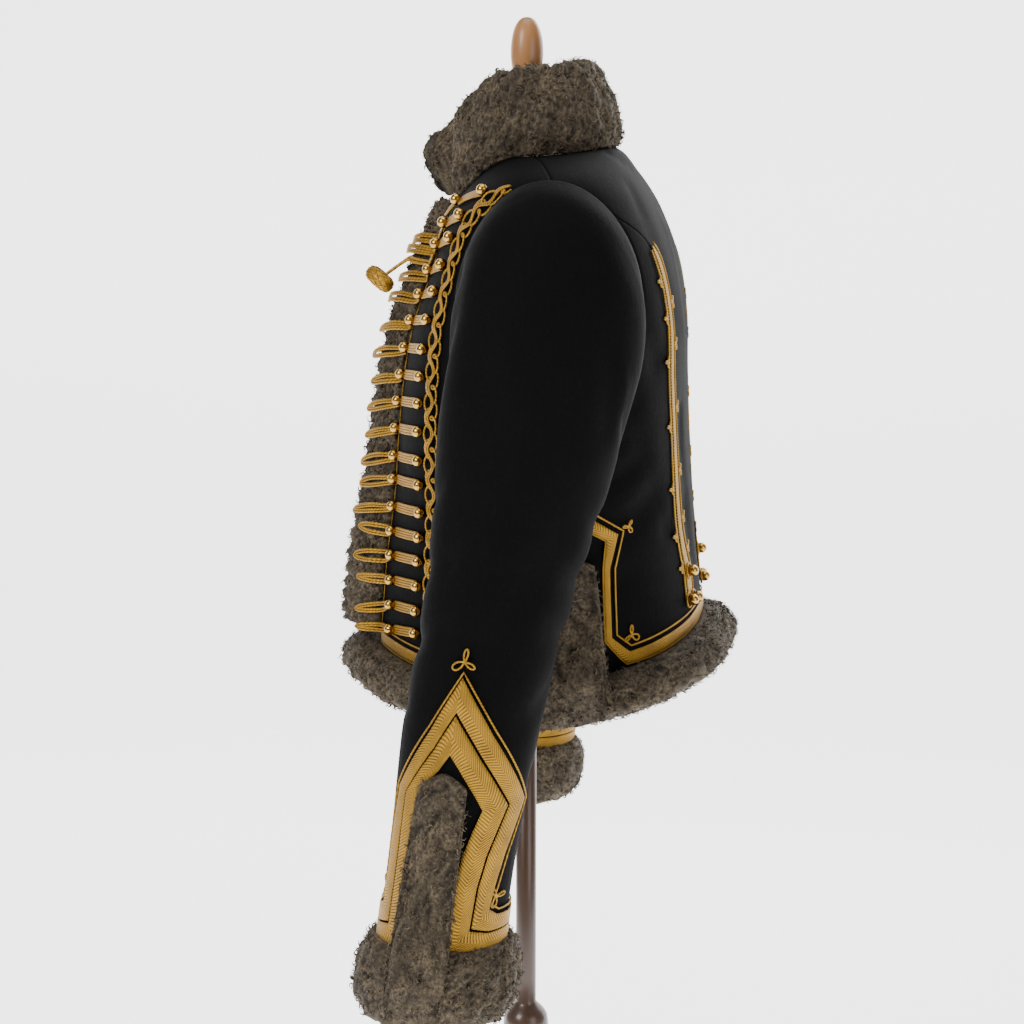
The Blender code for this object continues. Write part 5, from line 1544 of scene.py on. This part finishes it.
def grow_fur(name, sections, ring, group, flip=None):
    """A lambskin strip: the smooth skin, its curly relief, and the locks that stand on it."""
    loops = [loop for loop, _ in sections]
    weights = sections[0][1]
    around, count = len(loops[0]), len(loops)
    rows = count if ring else count - 1

    def place(across, along_share):
        point = loops[round(along_share * rows) % count][round(across * around) % around]
        return flip(point) if flip else point

    def weight(across, along_share):
        return weights[round(across * around) % around]

    marks = {"rise": lambda across, along_share: 0.0, "fleece": weight}
    work = laid_grid(around, rows, place, (0.1, 1.0), joined=True, capped=not ring, marks=marks)
    bmesh.ops.recalc_face_normals(work, faces=work.faces)
    work.normal_update()
    rise = work.verts.layers.float["rise"]
    fleece = work.verts.layers.float["fleece"]
    moves = []
    for vert in work.verts:
        co = vert.co
        warp = co + noise.noise_vector(co * FUR_WARP[0]) * FUR_WARP[1]
        swell = noise.noise(co * FUR_SWELL[0])
        ridge = 1.0 - 2.4 * abs(noise.noise(warp * FUR_RIDGE[0]))
        moves.append(vert.normal * (swell * FUR_SWELL[1] + ridge * FUR_RIDGE[1]) * vert[fleece])
        # Painted shade: the rise is low in the relief's valleys, where the lambskin finish darkens the fur
        vert[rise] = max(0.0, min(1.0, 0.25 + 0.50 * ridge))
    for vert, move in zip(work.verts, moves):
        vert.co += move
    piece = assemble(name + "_pelt", [(work, "lambskin")], (name,))
    locks = piece.modifiers.new("locks", "NODES")
    locks.node_group = group
    settle(piece)


def chain_frame(share):
    """The middle of the chain band: point, direction out, and direction to its inner side."""
    turn, level = chain_place(share)
    ahead = (body_plain(*chain_place(share + 0.04)) - body_plain(*chain_place(share - 0.04))).normalized()
    out = body_axes(turn, level)[2]
    side = ahead.cross(out).normalized()
    if side.x > 0:
        side.negate()
    return body_plain(turn, level), out, side


CHAIN_PITCH = 0.0125
# The cords of the band: side (0 weaves), place aside of a weaving one as a share of the half width
CHAIN_CORDS = ((-1, 0.0), (0, -0.13), (0, 0.13), (1, 0.0))


def chain_cords():
    """The interlaced cords: two that loop outwards on either side, and a double one that weaves between them."""
    samples = 160
    last = len(CHAIN_PATH) - 1.0
    frames = [chain_frame(last * k / samples) for k in range(samples + 1)]
    lengths = run_lengths([point for point, _, _ in frames])
    total = lengths[-1]

    def at(distance):
        distance = min(max(distance, 0.0), total)
        k = min(samples - 1, max(0, bisect_left(lengths, distance) - 1))
        share = (distance - lengths[k]) / (lengths[k + 1] - lengths[k])
        mixed = [a.lerp(b, share) for a, b in zip(frames[k], frames[k + 1])]
        return mixed, chain_half_width(last * (k + share) / samples)

    cords = []
    steps = int(total / CHAIN_PITCH) * 20
    radius = bpy.context.scene.pelisse_sizes.braid
    for kind, aside in CHAIN_CORDS:
        points = []
        for k in range(steps + 1):
            phase = 2.0 * math.pi * k / 20.0 + (math.pi if kind > 0 else 0.0)
            base = total * k / steps
            if kind:
                forward, sway = 0.0042 * math.sin(phase), kind * (0.48 + 0.44 * math.cos(phase))
                height = 0.0011 + 0.0007 * math.sin(phase * 0.5 + kind)
            else:
                forward, sway = 0.0, aside + 0.40 * math.sin(phase * 0.5)
                height = 0.0022
            (point, out, side), half = at(base + forward)
            points.append(point + side * half * sway + out * (CHAIN_GAP + height))
        cords.append(tube(points, radius * (1.22 if kind else 1.05), 5))
    return cords


def sew_row(index):
    """The meshes of one left row: its double cord, its two ball buttons and its hanging loop."""
    sizes = bpy.context.scene.pelisse_sizes
    outer_turn, outer_level = row_outer_place(index)
    inner_turn, inner_level = row_inner_place(index)
    whole = body_plain(inner_turn, inner_level) - body_plain(outer_turn, outer_level)
    count = 10
    places = [shifted(outer_turn, outer_level, whole * (k / count)) for k in range(count + 1)]
    outs = [body_axes(*place)[2] for place in places]
    middle = [body_plain(*place) for place in places]
    strand = sizes.cord * 0.86
    parts = []
    for aside in (-3.0, -1.0, 1.0, 3.0):
        points = []
        for k, (p, out) in enumerate(zip(middle, outs)):
            ahead = (middle[min(k + 1, count)] - middle[max(k - 1, 0)]).normalized()
            narrow = 1.0 - 0.35 * abs(2.0 * k / count - 1.0) ** 6
            side = ahead.cross(out) * aside * strand * 0.96 * narrow
            points.append(p + side + out * (REST_GAP + strand))
        parts.append((tube(points, strand, 7), "cord"))
    for point, out in ((middle[0], outs[0]), (middle[-1], outs[-1])):
        parts.append((ball(point + out * (REST_GAP + BALL_SEAT + BALL_RADIUS), out, BALL_RADIUS * 1.16), "brass"))
    tip, droop, spread = LOOP_HANG[index]
    for aside in (0.94, -0.94):
        path = []
        for share, wide in LOOP_OUTLINE:
            path.append(hung_point(index, share * tip, -(wide * spread + aside * strand), droop))
        path.append(hung_point(index, tip * (1.0 if aside > 0 else 0.955), 0.0, droop))
        for share, wide in reversed(LOOP_OUTLINE):
            path.append(hung_point(index, share * tip, wide * spread + aside * strand, droop))
        parts.append((tube(smooth_path(path, 2), strand, 6), "cord"))
    return parts


def cuff_stations():
    """The cuff lace's path made finer: turn and ring of both edges, with the length run."""
    ring = list(CUFF_LACE_PATH)
    first = ring[0]
    ring.append((first[0] - 360.0, first[1], first[2] - 360.0, first[3]))
    fine = []
    for start, end in zip(ring, ring[1:]):
        steps = max(2, math.ceil(max(abs(end[0] - start[0]), abs(end[2] - start[2])) / 4.0))
        fine += [[a + (b - a) * k / steps for a, b in zip(start, end)] for k in range(steps)]
    return fine + [list(ring[-1])]


CUFF_BANDS = ((0.0, 0.435), (0.490, 1.0))
CUFF_BRAID_GAP = 0.0042
# Trefoils on the cuff: turn in degrees, ring, size, turn of the knot
CUFF_KNOTS = ((6.0, 7.33, 0.0100, 60.0), (-57.0, 10.25, 0.0088, 20.0), (63.0, 10.2, 0.0088, 20.0))


def cuff_point(station, share, out):
    upper_turn, upper_ring, lower_turn, lower_ring = station
    turn = math.radians(upper_turn + (lower_turn - upper_turn) * share)
    return sleeve(turn, upper_ring + (lower_ring - upper_ring) * share, out)


def cuff_work(flip):
    """The meshes of one cuff's lace: two bands with a dark line between, and the braid that edges them."""
    sizes = bpy.context.scene.pelisse_sizes
    side = (lambda p: swung([p])[0]) if flip else (lambda p: p)
    stations = cuff_stations()
    count = len(stations) - 1
    parts = []
    for low, high in CUFF_BANDS:
        def spot(across, along_share, out):
            return side(cuff_point(stations[round(along_share * count)], low + (high - low) * across, out))

        runs = run_lengths([cuff_point(station, 0.5 * (low + high), 0.0) for station in stations])
        band = laid_strip(6, count, spot, 0.018, runs, LACE_GAP, LACE_GAP + LACE_THICK, joined=True)
        parts.append((band, "lace"))
    braid_lift = 0.0003 + sizes.braid
    edges = []
    for station in stations[:-1]:
        edge = cuff_point(station, 0.0, braid_lift)
        away = (edge - cuff_point(station, 0.15, braid_lift)).normalized()
        edges.append(side(edge + away * CUFF_BRAID_GAP))
    parts.append((tube(edges, sizes.braid, 6, closed=True), "cord"))
    for degrees, ring, size, turned in CUFF_KNOTS:
        turn = math.radians(degrees)
        around, down, _ = sleeve_axes(turn, ring)
        centre = sleeve(turn, ring, braid_lift)
        knot = [side(p) for p in rose(centre, around, -down, size, 3, math.radians(turned))]
        parts.append((tube(knot, sizes.braid, 6, closed=True), "cord"))
    return parts


def lace_edge(places, halves, extra, sign):
    """The places along one side of a strip on the coat, mitred where it bends."""
    points = [body_plain(*place) for place in places]
    outs = [body_axes(*place)[2] for place in places]
    reaches = strip_reaches(points, outs, halves)
    made = []
    for place, half, reach in zip(places, halves, reaches):
        made.append(shifted(*place, reach * (sign * (half + extra) / half)))
    return made


def stepped(edge, steps):
    """An edge's places made finer, so many steps between each two."""
    made = [tuple(edge[0])]
    for start, end, count in zip(edge, edge[1:], steps):
        made += [tuple(a + (b - a) * k / count for a, b in zip(start, end)) for k in range(1, count + 1)]
    return made


def strip_steps(places):
    return [max(1, round((body_plain(*b) - body_plain(*a)).length / 0.004)) for a, b in zip(places, places[1:])]


def body_lace(places, halves, low):
    """A strip of woven lace on the coat's body."""
    steps = strip_steps(places)
    left = stepped(lace_edge(places, halves, 0.0, -1.0), steps)
    right = stepped(lace_edge(places, halves, 0.0, 1.0), steps)
    runs = run_lengths([body_plain(*a) for a in stepped(places, steps)])

    def spot(across, along_share, out):
        k = round(along_share * (len(left) - 1))
        turn, level = (a + (b - a) * across for a, b in zip(left[k], right[k]))
        return body(turn, level, out)

    return laid_strip(4, len(left) - 1, spot, 2.0 * max(halves), runs, low, low + LACE_THICK)


def body_braid(places, halves, extra, sign, radius):
    """A narrow braid that runs beside a strip of lace."""
    line = stepped(lace_edge(places, halves, extra, sign), strip_steps(places))
    return tube([body(turn, level, 0.0002 + radius) for turn, level in line], radius, 6)


def body_knot(turn, level, size, turned, radius, steps=16):
    """A flat trefoil of braid on the coat's body."""
    around, down, _ = body_axes(turn, level)
    points = rose(body(turn, level, 0.0003 + radius), around, -down, size, 3, math.radians(turned), steps)
    return tube(points, radius, 6, closed=True)


# Trefoils beside the vent and on the hem: turn in degrees, rise over the cloth's lower edge, size, turn of the knot
HEM_KNOTS = (
    (107.5, 0.1700, 0.0070, 60.0), (130.0, 0.0330, 0.0080, 60.0), (129.5, 0.1250, 0.0056, 30.0),
    (85.5, 0.0330, 0.0070, 60.0), (85.5, 0.1290, 0.0056, 90.0),
)
HEM_BRAID_GAP = 0.0046
BACK_BRAID_GAP = 0.0048
BACK_KNOT_GAP = 0.0080
BACK_KNOT_SIZE = 0.0052
BACK_RING_RADIUS = 0.0064


def hem_work():
    """The meshes of the hem's trim: the lace that frames the fur and the vents, its braid and its trefoils."""
    radius = bpy.context.scene.pelisse_sizes.braid
    half = []
    for degrees, rise, wide in HEM_LACE_PATH:
        turn = math.radians(degrees)
        half.append((turn, height_level(turn, body_plain(turn, HEM).z + rise), wide))
    stations = half + [(2 * math.pi - t, u, w) for t, u, w in reversed(half[:-1])]
    places = [(t, u) for t, u, _ in stations]
    halves = [w for _, _, w in stations]
    parts = [(body_lace(places, halves, REST_GAP), "lace")]
    parts.append((body_braid(places, halves, HEM_BRAID_GAP, -1.0, radius), "cord"))
    parts.append((body_braid(places, halves, radius, 1.0, radius * 0.8), "cord"))
    for degrees, rise, size, turned in HEM_KNOTS:
        for turn in (math.radians(degrees), 2 * math.pi - math.radians(degrees)):
            level = height_level(turn, body_plain(turn, HEM).z + rise)
            parts.append((body_knot(turn, level, size, turned, radius), "cord"))
    return parts


def back_work():
    """The meshes of the left back seam's trim: lace, its edging braid with knots, and buttons in their rings."""
    radius = bpy.context.scene.pelisse_sizes.braid
    fine = [spline(BACK_LACE_PATH, k / 3) for k in range((len(BACK_LACE_PATH) - 1) * 3 + 1)]
    places = [place_at(x, z, back=True) for z, x, _ in fine]
    halves = [half for _, _, half in fine]
    parts = [(body_lace(places, halves, REST_GAP), "lace")]
    for sign, first in ((1.0, 5), (-1.0, 8)):
        parts.append((body_braid(places, halves, BACK_BRAID_GAP, sign, radius), "cord"))
        knots = lace_edge(places, halves, BACK_KNOT_GAP, sign)
        for turn, level in knots[first:-5:4]:
            parts.append((body_knot(turn, level, BACK_KNOT_SIZE, 30.0, radius, 10), "cord"))
    for x, z in BACK_BUTTONS:
        turn, level = place_at(x, z, back=True)
        around, down, out = body_axes(turn, level)
        centre = body(turn, level, REST_GAP + BALL_SEAT + BACK_BALL_RADIUS)
        parts.append((ball(centre, out, BACK_BALL_RADIUS), "brass"))
        foot = body(turn, level, LACE_THICK + radius)
        angles = [2 * math.pi * k / 24 for k in range(24)]
        circle = [foot + (around * math.cos(a) + down * math.sin(a)) * BACK_RING_RADIUS for a in angles]
        parts.append((tube(circle, radius, 6, closed=True), "cord"))
    return parts


def front_braid():
    """The narrow braid beside the left front fur."""
    sizes = bpy.context.scene.pelisse_sizes
    points = []
    last = place_at(FRONT_EDGE_X, FRONT_FUR_FOOT_Z)[1]
    for k in range(120):
        level = FRONT_FUR_FIRST_LEVEL + 0.3 + (last - FRONT_FUR_FIRST_LEVEL - 0.3) * k / 119
        growth = front_fur_growth(level)
        turn = along(front_edge_turn(level), level, FRONT_FUR_WIDTH * 0.17 * growth + 0.0042)
        points.append(body(turn, level, 0.0002 + sizes.braid * 0.6))
    return tube(points, sizes.braid * 0.62, 6)


def spun(profile, steps=56):
    """A turned shape: radius and height from its top to its foot, closed on its axis."""
    work = bmesh.new()
    work.loops.layers.uv.new("UVMap")
    first = [work.verts.new((0.0, 0.0, profile[0][1]))]
    first += [work.verts.new((radius, 0.0, z)) for radius, z in profile]
    first.append(work.verts.new((0.0, 0.0, profile[-1][1])))
    edges = [work.edges.new(pair) for pair in zip(first, first[1:])]
    bmesh.ops.spin(
        work, geom=first + edges, cent=(0, 0, 0), axis=(0, 0, 1), angle=2 * math.pi, steps=steps, use_merge=True
    )
    bmesh.ops.remove_doubles(work, verts=work.verts, dist=0.000002)
    bmesh.ops.recalc_face_normals(work, faces=work.faces)
    return work


def form_rings():
    """The dress form's rings, from its neck down to its foot."""
    around = 60
    turns = [2 * math.pi * k / around for k in range(around)]
    rings = []
    neck = ((0.001, 0.0), (FORM_NECK_RADIUS - 0.010, 0.0), (FORM_NECK_RADIUS - 0.004, 0.001),
            (FORM_NECK_RADIUS, 0.005), (FORM_NECK_RADIUS, 0.030))
    for radius, drop in neck:
        z = FORM_NECK_TOP_Z - drop
        rings.append([Vector((radius * math.sin(t), 0.004 - radius * math.cos(t), z)) for t in turns])
    foot = [body_plain(t, 0.0) for t in turns]
    rings.append([Vector((p.x * FORM_NECK_SHARE, p.y * FORM_NECK_SHARE, p.z - FORM_NECK_FOOT)) for p in foot])
    for level in (0.25, 0.6, 1.0, 1.3, 1.6, 2.2, 3.0, 4.0, 5.0, 6.0, 7.0, 8.0, 9.0, 9.8):
        rings.append([body(t, level, -form_inset(level) - 0.0006) for t in turns])
    rings.append([Vector((p.x * 0.985, p.y * 0.985, FORM_LOW_Z + 0.006)) for p in rings[-1]])
    rings.append([Vector((p.x * 0.94, p.y * 0.94, FORM_LOW_Z)) for p in rings[-1]])
    rings.append([Vector((p.x * 0.02, p.y * 0.02, FORM_LOW_Z)) for p in rings[-1]])
    return rings


class PELISSE_OT_form(bpy.types.Operator):
    """Covers the dress form in linen"""

    bl_idname = "pelisse.cover_form"
    bl_label = "Cover the form"

    def execute(self, context):
        rings = form_rings()
        around = len(rings[0])

        def place(across, along_share):
            return rings[round(along_share * (len(rings) - 1))][round(across * around) % around]

        work = laid_grid(around, len(rings) - 1, place, (0.9, 0.6), joined=True, capped=True)
        form = assemble("form_cover", [(work, "linen")], ("dress_form",))
        return {"FINISHED"}


class PELISSE_OT_stand(bpy.types.Operator):
    """Turns the pole, its knob and foot, and the finial"""

    bl_idname = "pelisse.turn_stand"
    bl_label = "Turn the stand"

    def execute(self, context):
        r = POLE_RADIUS
        shape = [(r, FORM_LOW_Z - SEAM_GAP), (r, KNOB_TOP_Z + 0.030), (r, KNOB_TOP_Z + 0.006)]
        shape += [(r + 0.0012, KNOB_TOP_Z + 0.004), (r + 0.0040, KNOB_TOP_Z + 0.001)]
        shape += [(radius, KNOB_TOP_Z + z) for radius, z in KNOB_SHAPE]
        shape += COLUMN_SHAPE
        shape += [(BASE_RADIUS - inset, z) for inset, z in BASE_EDGE]
        assemble("turned_stand", [(spun(shape), "pole")], ("stand",))
        foot = FORM_NECK_TOP_Z + SEAM_GAP
        tall = FINIAL_TOP_Z - foot
        egg = []
        for k in range(22):
            a = math.radians(3 + 7.5 * k)
            egg.append((FINIAL_RADIUS * math.sin(a) ** 0.8, FINIAL_TOP_Z - (tall - 0.004) * (1 - math.cos(a)) / 2))
        egg += [(0.0085, foot + 0.0040), (0.0105, foot + 0.0032), (0.0105, foot)]
        assemble("finial_egg", [(spun(egg, 40), "finial")], ("finial",))
        return {"FINISHED"}


class PELISSE_OT_cloth(bpy.types.Operator):
    """Cuts the body panels and the sleeves"""

    bl_idname = "pelisse.cut_cloth"
    bl_label = "Cut the cloth"

    def execute(self, context):
        cut_panel("back", back_rows(), 96, FLAT_CUTS["back"])
        for side, flip in (("l", False), ("r", True)):
            cut_panel("front_" + side, front_rows(), 56, FLAT_CUTS["front"], flip)
            cut_panel("side_back_" + side, side_back_rows(), 40, FLAT_CUTS["side_back"], flip)
            cut_sleeve("sleeve_" + side, flip)
        return {"FINISHED"}


class PELISSE_OT_fur(bpy.types.Operator):
    """Lays the lambskin collar, edges and cuffs"""

    bl_idname = "pelisse.lay_fur"
    bl_label = "Lay the fur"

    def execute(self, context):
        sizes = context.scene.pelisse_sizes
        noise.seed_set(FUR_SEED)
        curl = tuft_object("lock", curl_shape(sizes.curl))
        hair = tuft_object("hair", hair_shape(sizes.curl * 1.25))
        tufts = ((curl, sizes.curl_count, 0.65, 1.15), (hair, sizes.hair_count, 0.6, 1.2))
        group = scatter_group("fleece", tufts)
        collar = [rounded(loop, len(COLLAR_SECTION) - 1, 9) for loop in collar_loops(220)]
        grow_fur("collar", collar, False, group)
        hem = [rounded(loop, len(HEM_FUR_SECTION), 9) for loop in hem_fur_loops(1.1)]
        grow_fur("hem_fur", hem, False, group)
        front = [rounded(loop, len(FRONT_FUR_SECTION) - 2, 6) for loop in front_fur_loops(170)]
        cuff = [rounded(loop, len(CUFF_FUR_SECTION), 8) for loop in cuff_fur_loops()]
        for side, flip in (("l", None), ("r", lambda p: Vector((-p.x, p.y, p.z)))):
            grow_fur("front_fur_" + side, front, False, group, flip)
        for side, flip in (("l", None), ("r", lambda p: swung([p])[0])):
            grow_fur("cuff_fur_" + side, cuff, True, group, flip)
        for tuft in (curl, hair):
            bpy.data.objects.remove(tuft, do_unlink=True)
        return {"FINISHED"}


class PELISSE_OT_rows(bpy.types.Operator):
    """Sews the corded rows with their ball buttons and loops"""

    bl_idname = "pelisse.sew_rows"
    bl_label = "Sew the rows"

    def execute(self, context):
        for index in range(ROWS):
            number = "_%02d" % (index + 1)
            assemble_pair("corded_row", sew_row(index), "row", number)
        return {"FINISHED"}


class PELISSE_OT_chains(bpy.types.Operator):
    """Sews the interlaced bands at the rows' outer ends, and the braid beside the front fur"""

    bl_idname = "pelisse.sew_chains"
    bl_label = "Sew the chain bands"

    def execute(self, context):
        assemble_pair("interlaced_band", [(work, "cord") for work in chain_cords()], "chain")
        assemble_pair("front_braid", [(front_braid(), "cord")])
        return {"FINISHED"}


class PELISSE_OT_lace(bpy.types.Operator):
    """Sews the lace and braid of the cuffs, hem and back seams"""

    bl_idname = "pelisse.sew_lace"
    bl_label = "Sew the lace"

    def execute(self, context):
        for side, flip in (("l", False), ("r", True)):
            assemble("cuff_trim_" + side, cuff_work(flip), ("cuff_lace_" + side,))
        assemble("hem_trim", hem_work(), ("hem_lace",))
        assemble_pair("back_trim", back_work(), "back_lace")
        return {"FINISHED"}


class PELISSE_OT_toggle(bpy.types.Operator):
    """Ties the woven toggle on its double cord"""

    bl_idname = "pelisse.tie_toggle"
    bl_label = "Tie the toggle"

    def execute(self, context):
        end, head = Vector(TOGGLE_ENDS[0]), Vector(TOGGLE_ENDS[1])
        long = (head - end).length
        axis = (head - end).normalized()
        side = axis.orthogonal().normalized()
        spindle = spun([(TOGGLE_RADIUS * wide, long * (1.0 - share)) for share, wide in TOGGLE_PROFILE], 28)
        turned = Vector((0, 0, 1)).rotation_difference(axis).to_matrix()
        bmesh.ops.rotate(spindle, verts=spindle.verts, matrix=turned)
        bmesh.ops.translate(spindle, verts=spindle.verts, vec=end)
        parts = [(spindle, "cord")]
        for k in range(16):
            start, wind = 2 * math.pi * k / 8, []
            for step in range(13):
                share = 0.05 + 0.90 * step / 12
                wide = between(TOGGLE_PROFILE, share) * TOGGLE_RADIUS + 0.0002
                angle = start + (TOGGLE_WIND if k < 8 else -TOGGLE_WIND) * share
                away = side * math.cos(angle) + axis.cross(side) * math.sin(angle)
                wind.append(end + axis * long * share + away * wide)
            parts.append((tube(wind, 0.0007, 5), "cord"))
        out = body_axes(*row_inner_place(TOGGLE_ROW))[2]
        path = []
        for reach in (0.0, 0.14, 0.28, 0.42, 0.55, 0.68, 0.80):
            pair = [loop_point(TOGGLE_ROW - 1 + k, reach, 0.0) for k in (0, 1)]
            path.append(pair[0].lerp(pair[1], 0.5) + out * CORD * 0.4)
        path.append(end.lerp(head, 0.5))
        middle = smooth_path(path, 4)
        strands = []
        for aside in (-1.0, 1.0):
            line = []
            for k, p in enumerate(middle):
                ahead = (middle[min(k + 1, len(middle) - 1)] - middle[max(k - 1, 0)]).normalized()
                line.append(p + ahead.cross(out).normalized() * aside * 0.0014)
            strands.append((tube(line, 0.00135, 8), "cord"))
        toggle = assemble("woven_toggle", parts, ("toggle",))
        cord = assemble("toggle_cord", strands, ("toggle",))
        run_lengths(middle)[-1]
        return {"FINISHED"}


CAMERA_PLACE = (1.731, 0.261, 1.400)
CAMERA_SIDE = math.radians(9.0)
CAMERA_PITCH = math.radians(9.0)
CAMERA_LENS = 69.33
# Soft lights: name, place, size, power
LIGHTS = (
    ("key", (2.2, -1.6, 2.7), 1.1, 70.0), ("fill", (2.0, 2.2, 1.7), 1.6, 26.0), ("back", (-1.6, 0.9, 2.6), 1.4, 30.0),
    ("top", (0.2, 0.0, 3.2), 1.6, 26.0),
)
LIGHT_TARGET = (0.0, 0.0, 1.15)
WORLD_STRENGTH = 0.30


def soft_light(name, place, size, power):
    lamp = bpy.data.lights.new(name, "AREA")
    lamp.shape = "RECTANGLE"
    lamp.size = size
    lamp.size_y = size
    lamp.energy = power
    holder = bpy.data.objects.new(name, lamp)
    holder.location = place
    holder.rotation_mode = "QUATERNION"
    holder.rotation_quaternion = (Vector(LIGHT_TARGET) - holder.location).to_track_quat("-Z", "Y")
    bpy.context.scene.collection.objects.link(holder)


class PELISSE_OT_stage(bpy.types.Operator):
    """Sets the camera, the pale floor and the soft lights"""

    bl_idname = "pelisse.set_stage"
    bl_label = "Set the stage"

    def execute(self, context):
        def place(across, along_share):
            run = along_share * 9.0
            bend = 1.2
            x, z = 3.5 - run, 0.0
            if run > 6.0:
                angle = min((run - 6.0) / bend, math.pi / 2)
                x = -2.5 - bend * math.sin(angle)
                z = bend * (1 - math.cos(angle)) + max(0.0, run - 6.0 - bend * math.pi / 2) * 3.2
            return Vector((x, (across - 0.5) * 12.0, z - 0.0002))

        work = laid_grid(8, 60, place, (1.0, 1.0))
        work.normal_update()
        if sum(face.normal.z for face in work.faces) < 0:
            bmesh.ops.reverse_faces(work, faces=work.faces)
        mesh = bpy.data.meshes.new("pale_floor")
        for face in work.faces:
            face.smooth = True
        work.to_mesh(mesh)
        work.free()
        mesh.materials.append(finish("floor"))
        floor = bpy.data.objects.new("pale_floor", mesh)
        context.scene.collection.objects.link(floor)
        c, s = math.cos(CAMERA_SIDE), math.sin(CAMERA_SIDE)
        cp, sp = math.cos(CAMERA_PITCH), math.sin(CAMERA_PITCH)
        back = Vector((c * cp, s * cp, sp))
        right = Vector((-s, c, 0.0))
        up = back.cross(right)
        turned = Matrix((right, up, back)).transposed()
        lens = bpy.data.cameras.new("camera")
        lens.lens = CAMERA_LENS
        lens.sensor_width = 36.0
        lens.dof.use_dof = False
        camera = bpy.data.objects.new("camera", lens)
        camera.location = CAMERA_PLACE
        camera.rotation_mode = "QUATERNION"
        camera.rotation_quaternion = turned.to_quaternion()
        context.scene.collection.objects.link(camera)
        context.scene.camera = camera
        for light in LIGHTS:
            soft_light(*light)
        world = bpy.data.worlds.new("studio")
        world.use_nodes = True
        world.node_tree.nodes["Background"].inputs[0].default_value = (1.0, 1.0, 1.0, 1.0)
        world.node_tree.nodes["Background"].inputs[1].default_value = WORLD_STRENGTH
        context.scene.world = world
        return {"FINISHED"}


STEPS = (
    "set_stage", "cover_form", "turn_stand", "cut_cloth", "lay_fur", "sew_chains", "sew_rows", "sew_lace", "tie_toggle",
)


class PELISSE_PT_sidebar(bpy.types.Panel):
    bl_idname = "PELISSE_PT_sidebar"
    bl_label = "Pelisse"
    bl_space_type = "VIEW_3D"
    bl_region_type = "UI"
    bl_category = "Pelisse"

    def draw(self, context):
        column = self.layout.column()
        for group in (context.scene.pelisse_sizes, context.scene.pelisse_colours):
            for name in group.bl_rna.properties.keys():
                if name not in ("rna_type", "name"):
                    column.prop(group, name)
        for step in STEPS:
            column.operator("pelisse." + step)


CLASSES = (
    PelisseSizes, PelisseColours, PELISSE_OT_form, PELISSE_OT_stand, PELISSE_OT_cloth, PELISSE_OT_fur, PELISSE_OT_rows,
    PELISSE_OT_chains, PELISSE_OT_lace, PELISSE_OT_toggle, PELISSE_OT_stage, PELISSE_PT_sidebar,
)


def register():
    for entry in CLASSES:
        bpy.utils.register_class(entry)
    bpy.types.Scene.pelisse_sizes = PointerProperty(type=PelisseSizes)
    bpy.types.Scene.pelisse_colours = PointerProperty(type=PelisseColours)


def unregister():
    del bpy.types.Scene.pelisse_sizes
    del bpy.types.Scene.pelisse_colours
    for entry in reversed(CLASSES):
        bpy.utils.unregister_class(entry)


def main():
    register()
    bpy.ops.pelisse.set_stage()
    bpy.ops.pelisse.cover_form()
    bpy.ops.pelisse.turn_stand()
    bpy.ops.pelisse.cut_cloth()
    bpy.ops.pelisse.lay_fur()
    bpy.ops.pelisse.sew_chains()
    bpy.ops.pelisse.sew_rows()
    bpy.ops.pelisse.sew_lace()
    bpy.ops.pelisse.tie_toggle()


if __name__ == "__main__":
    main()
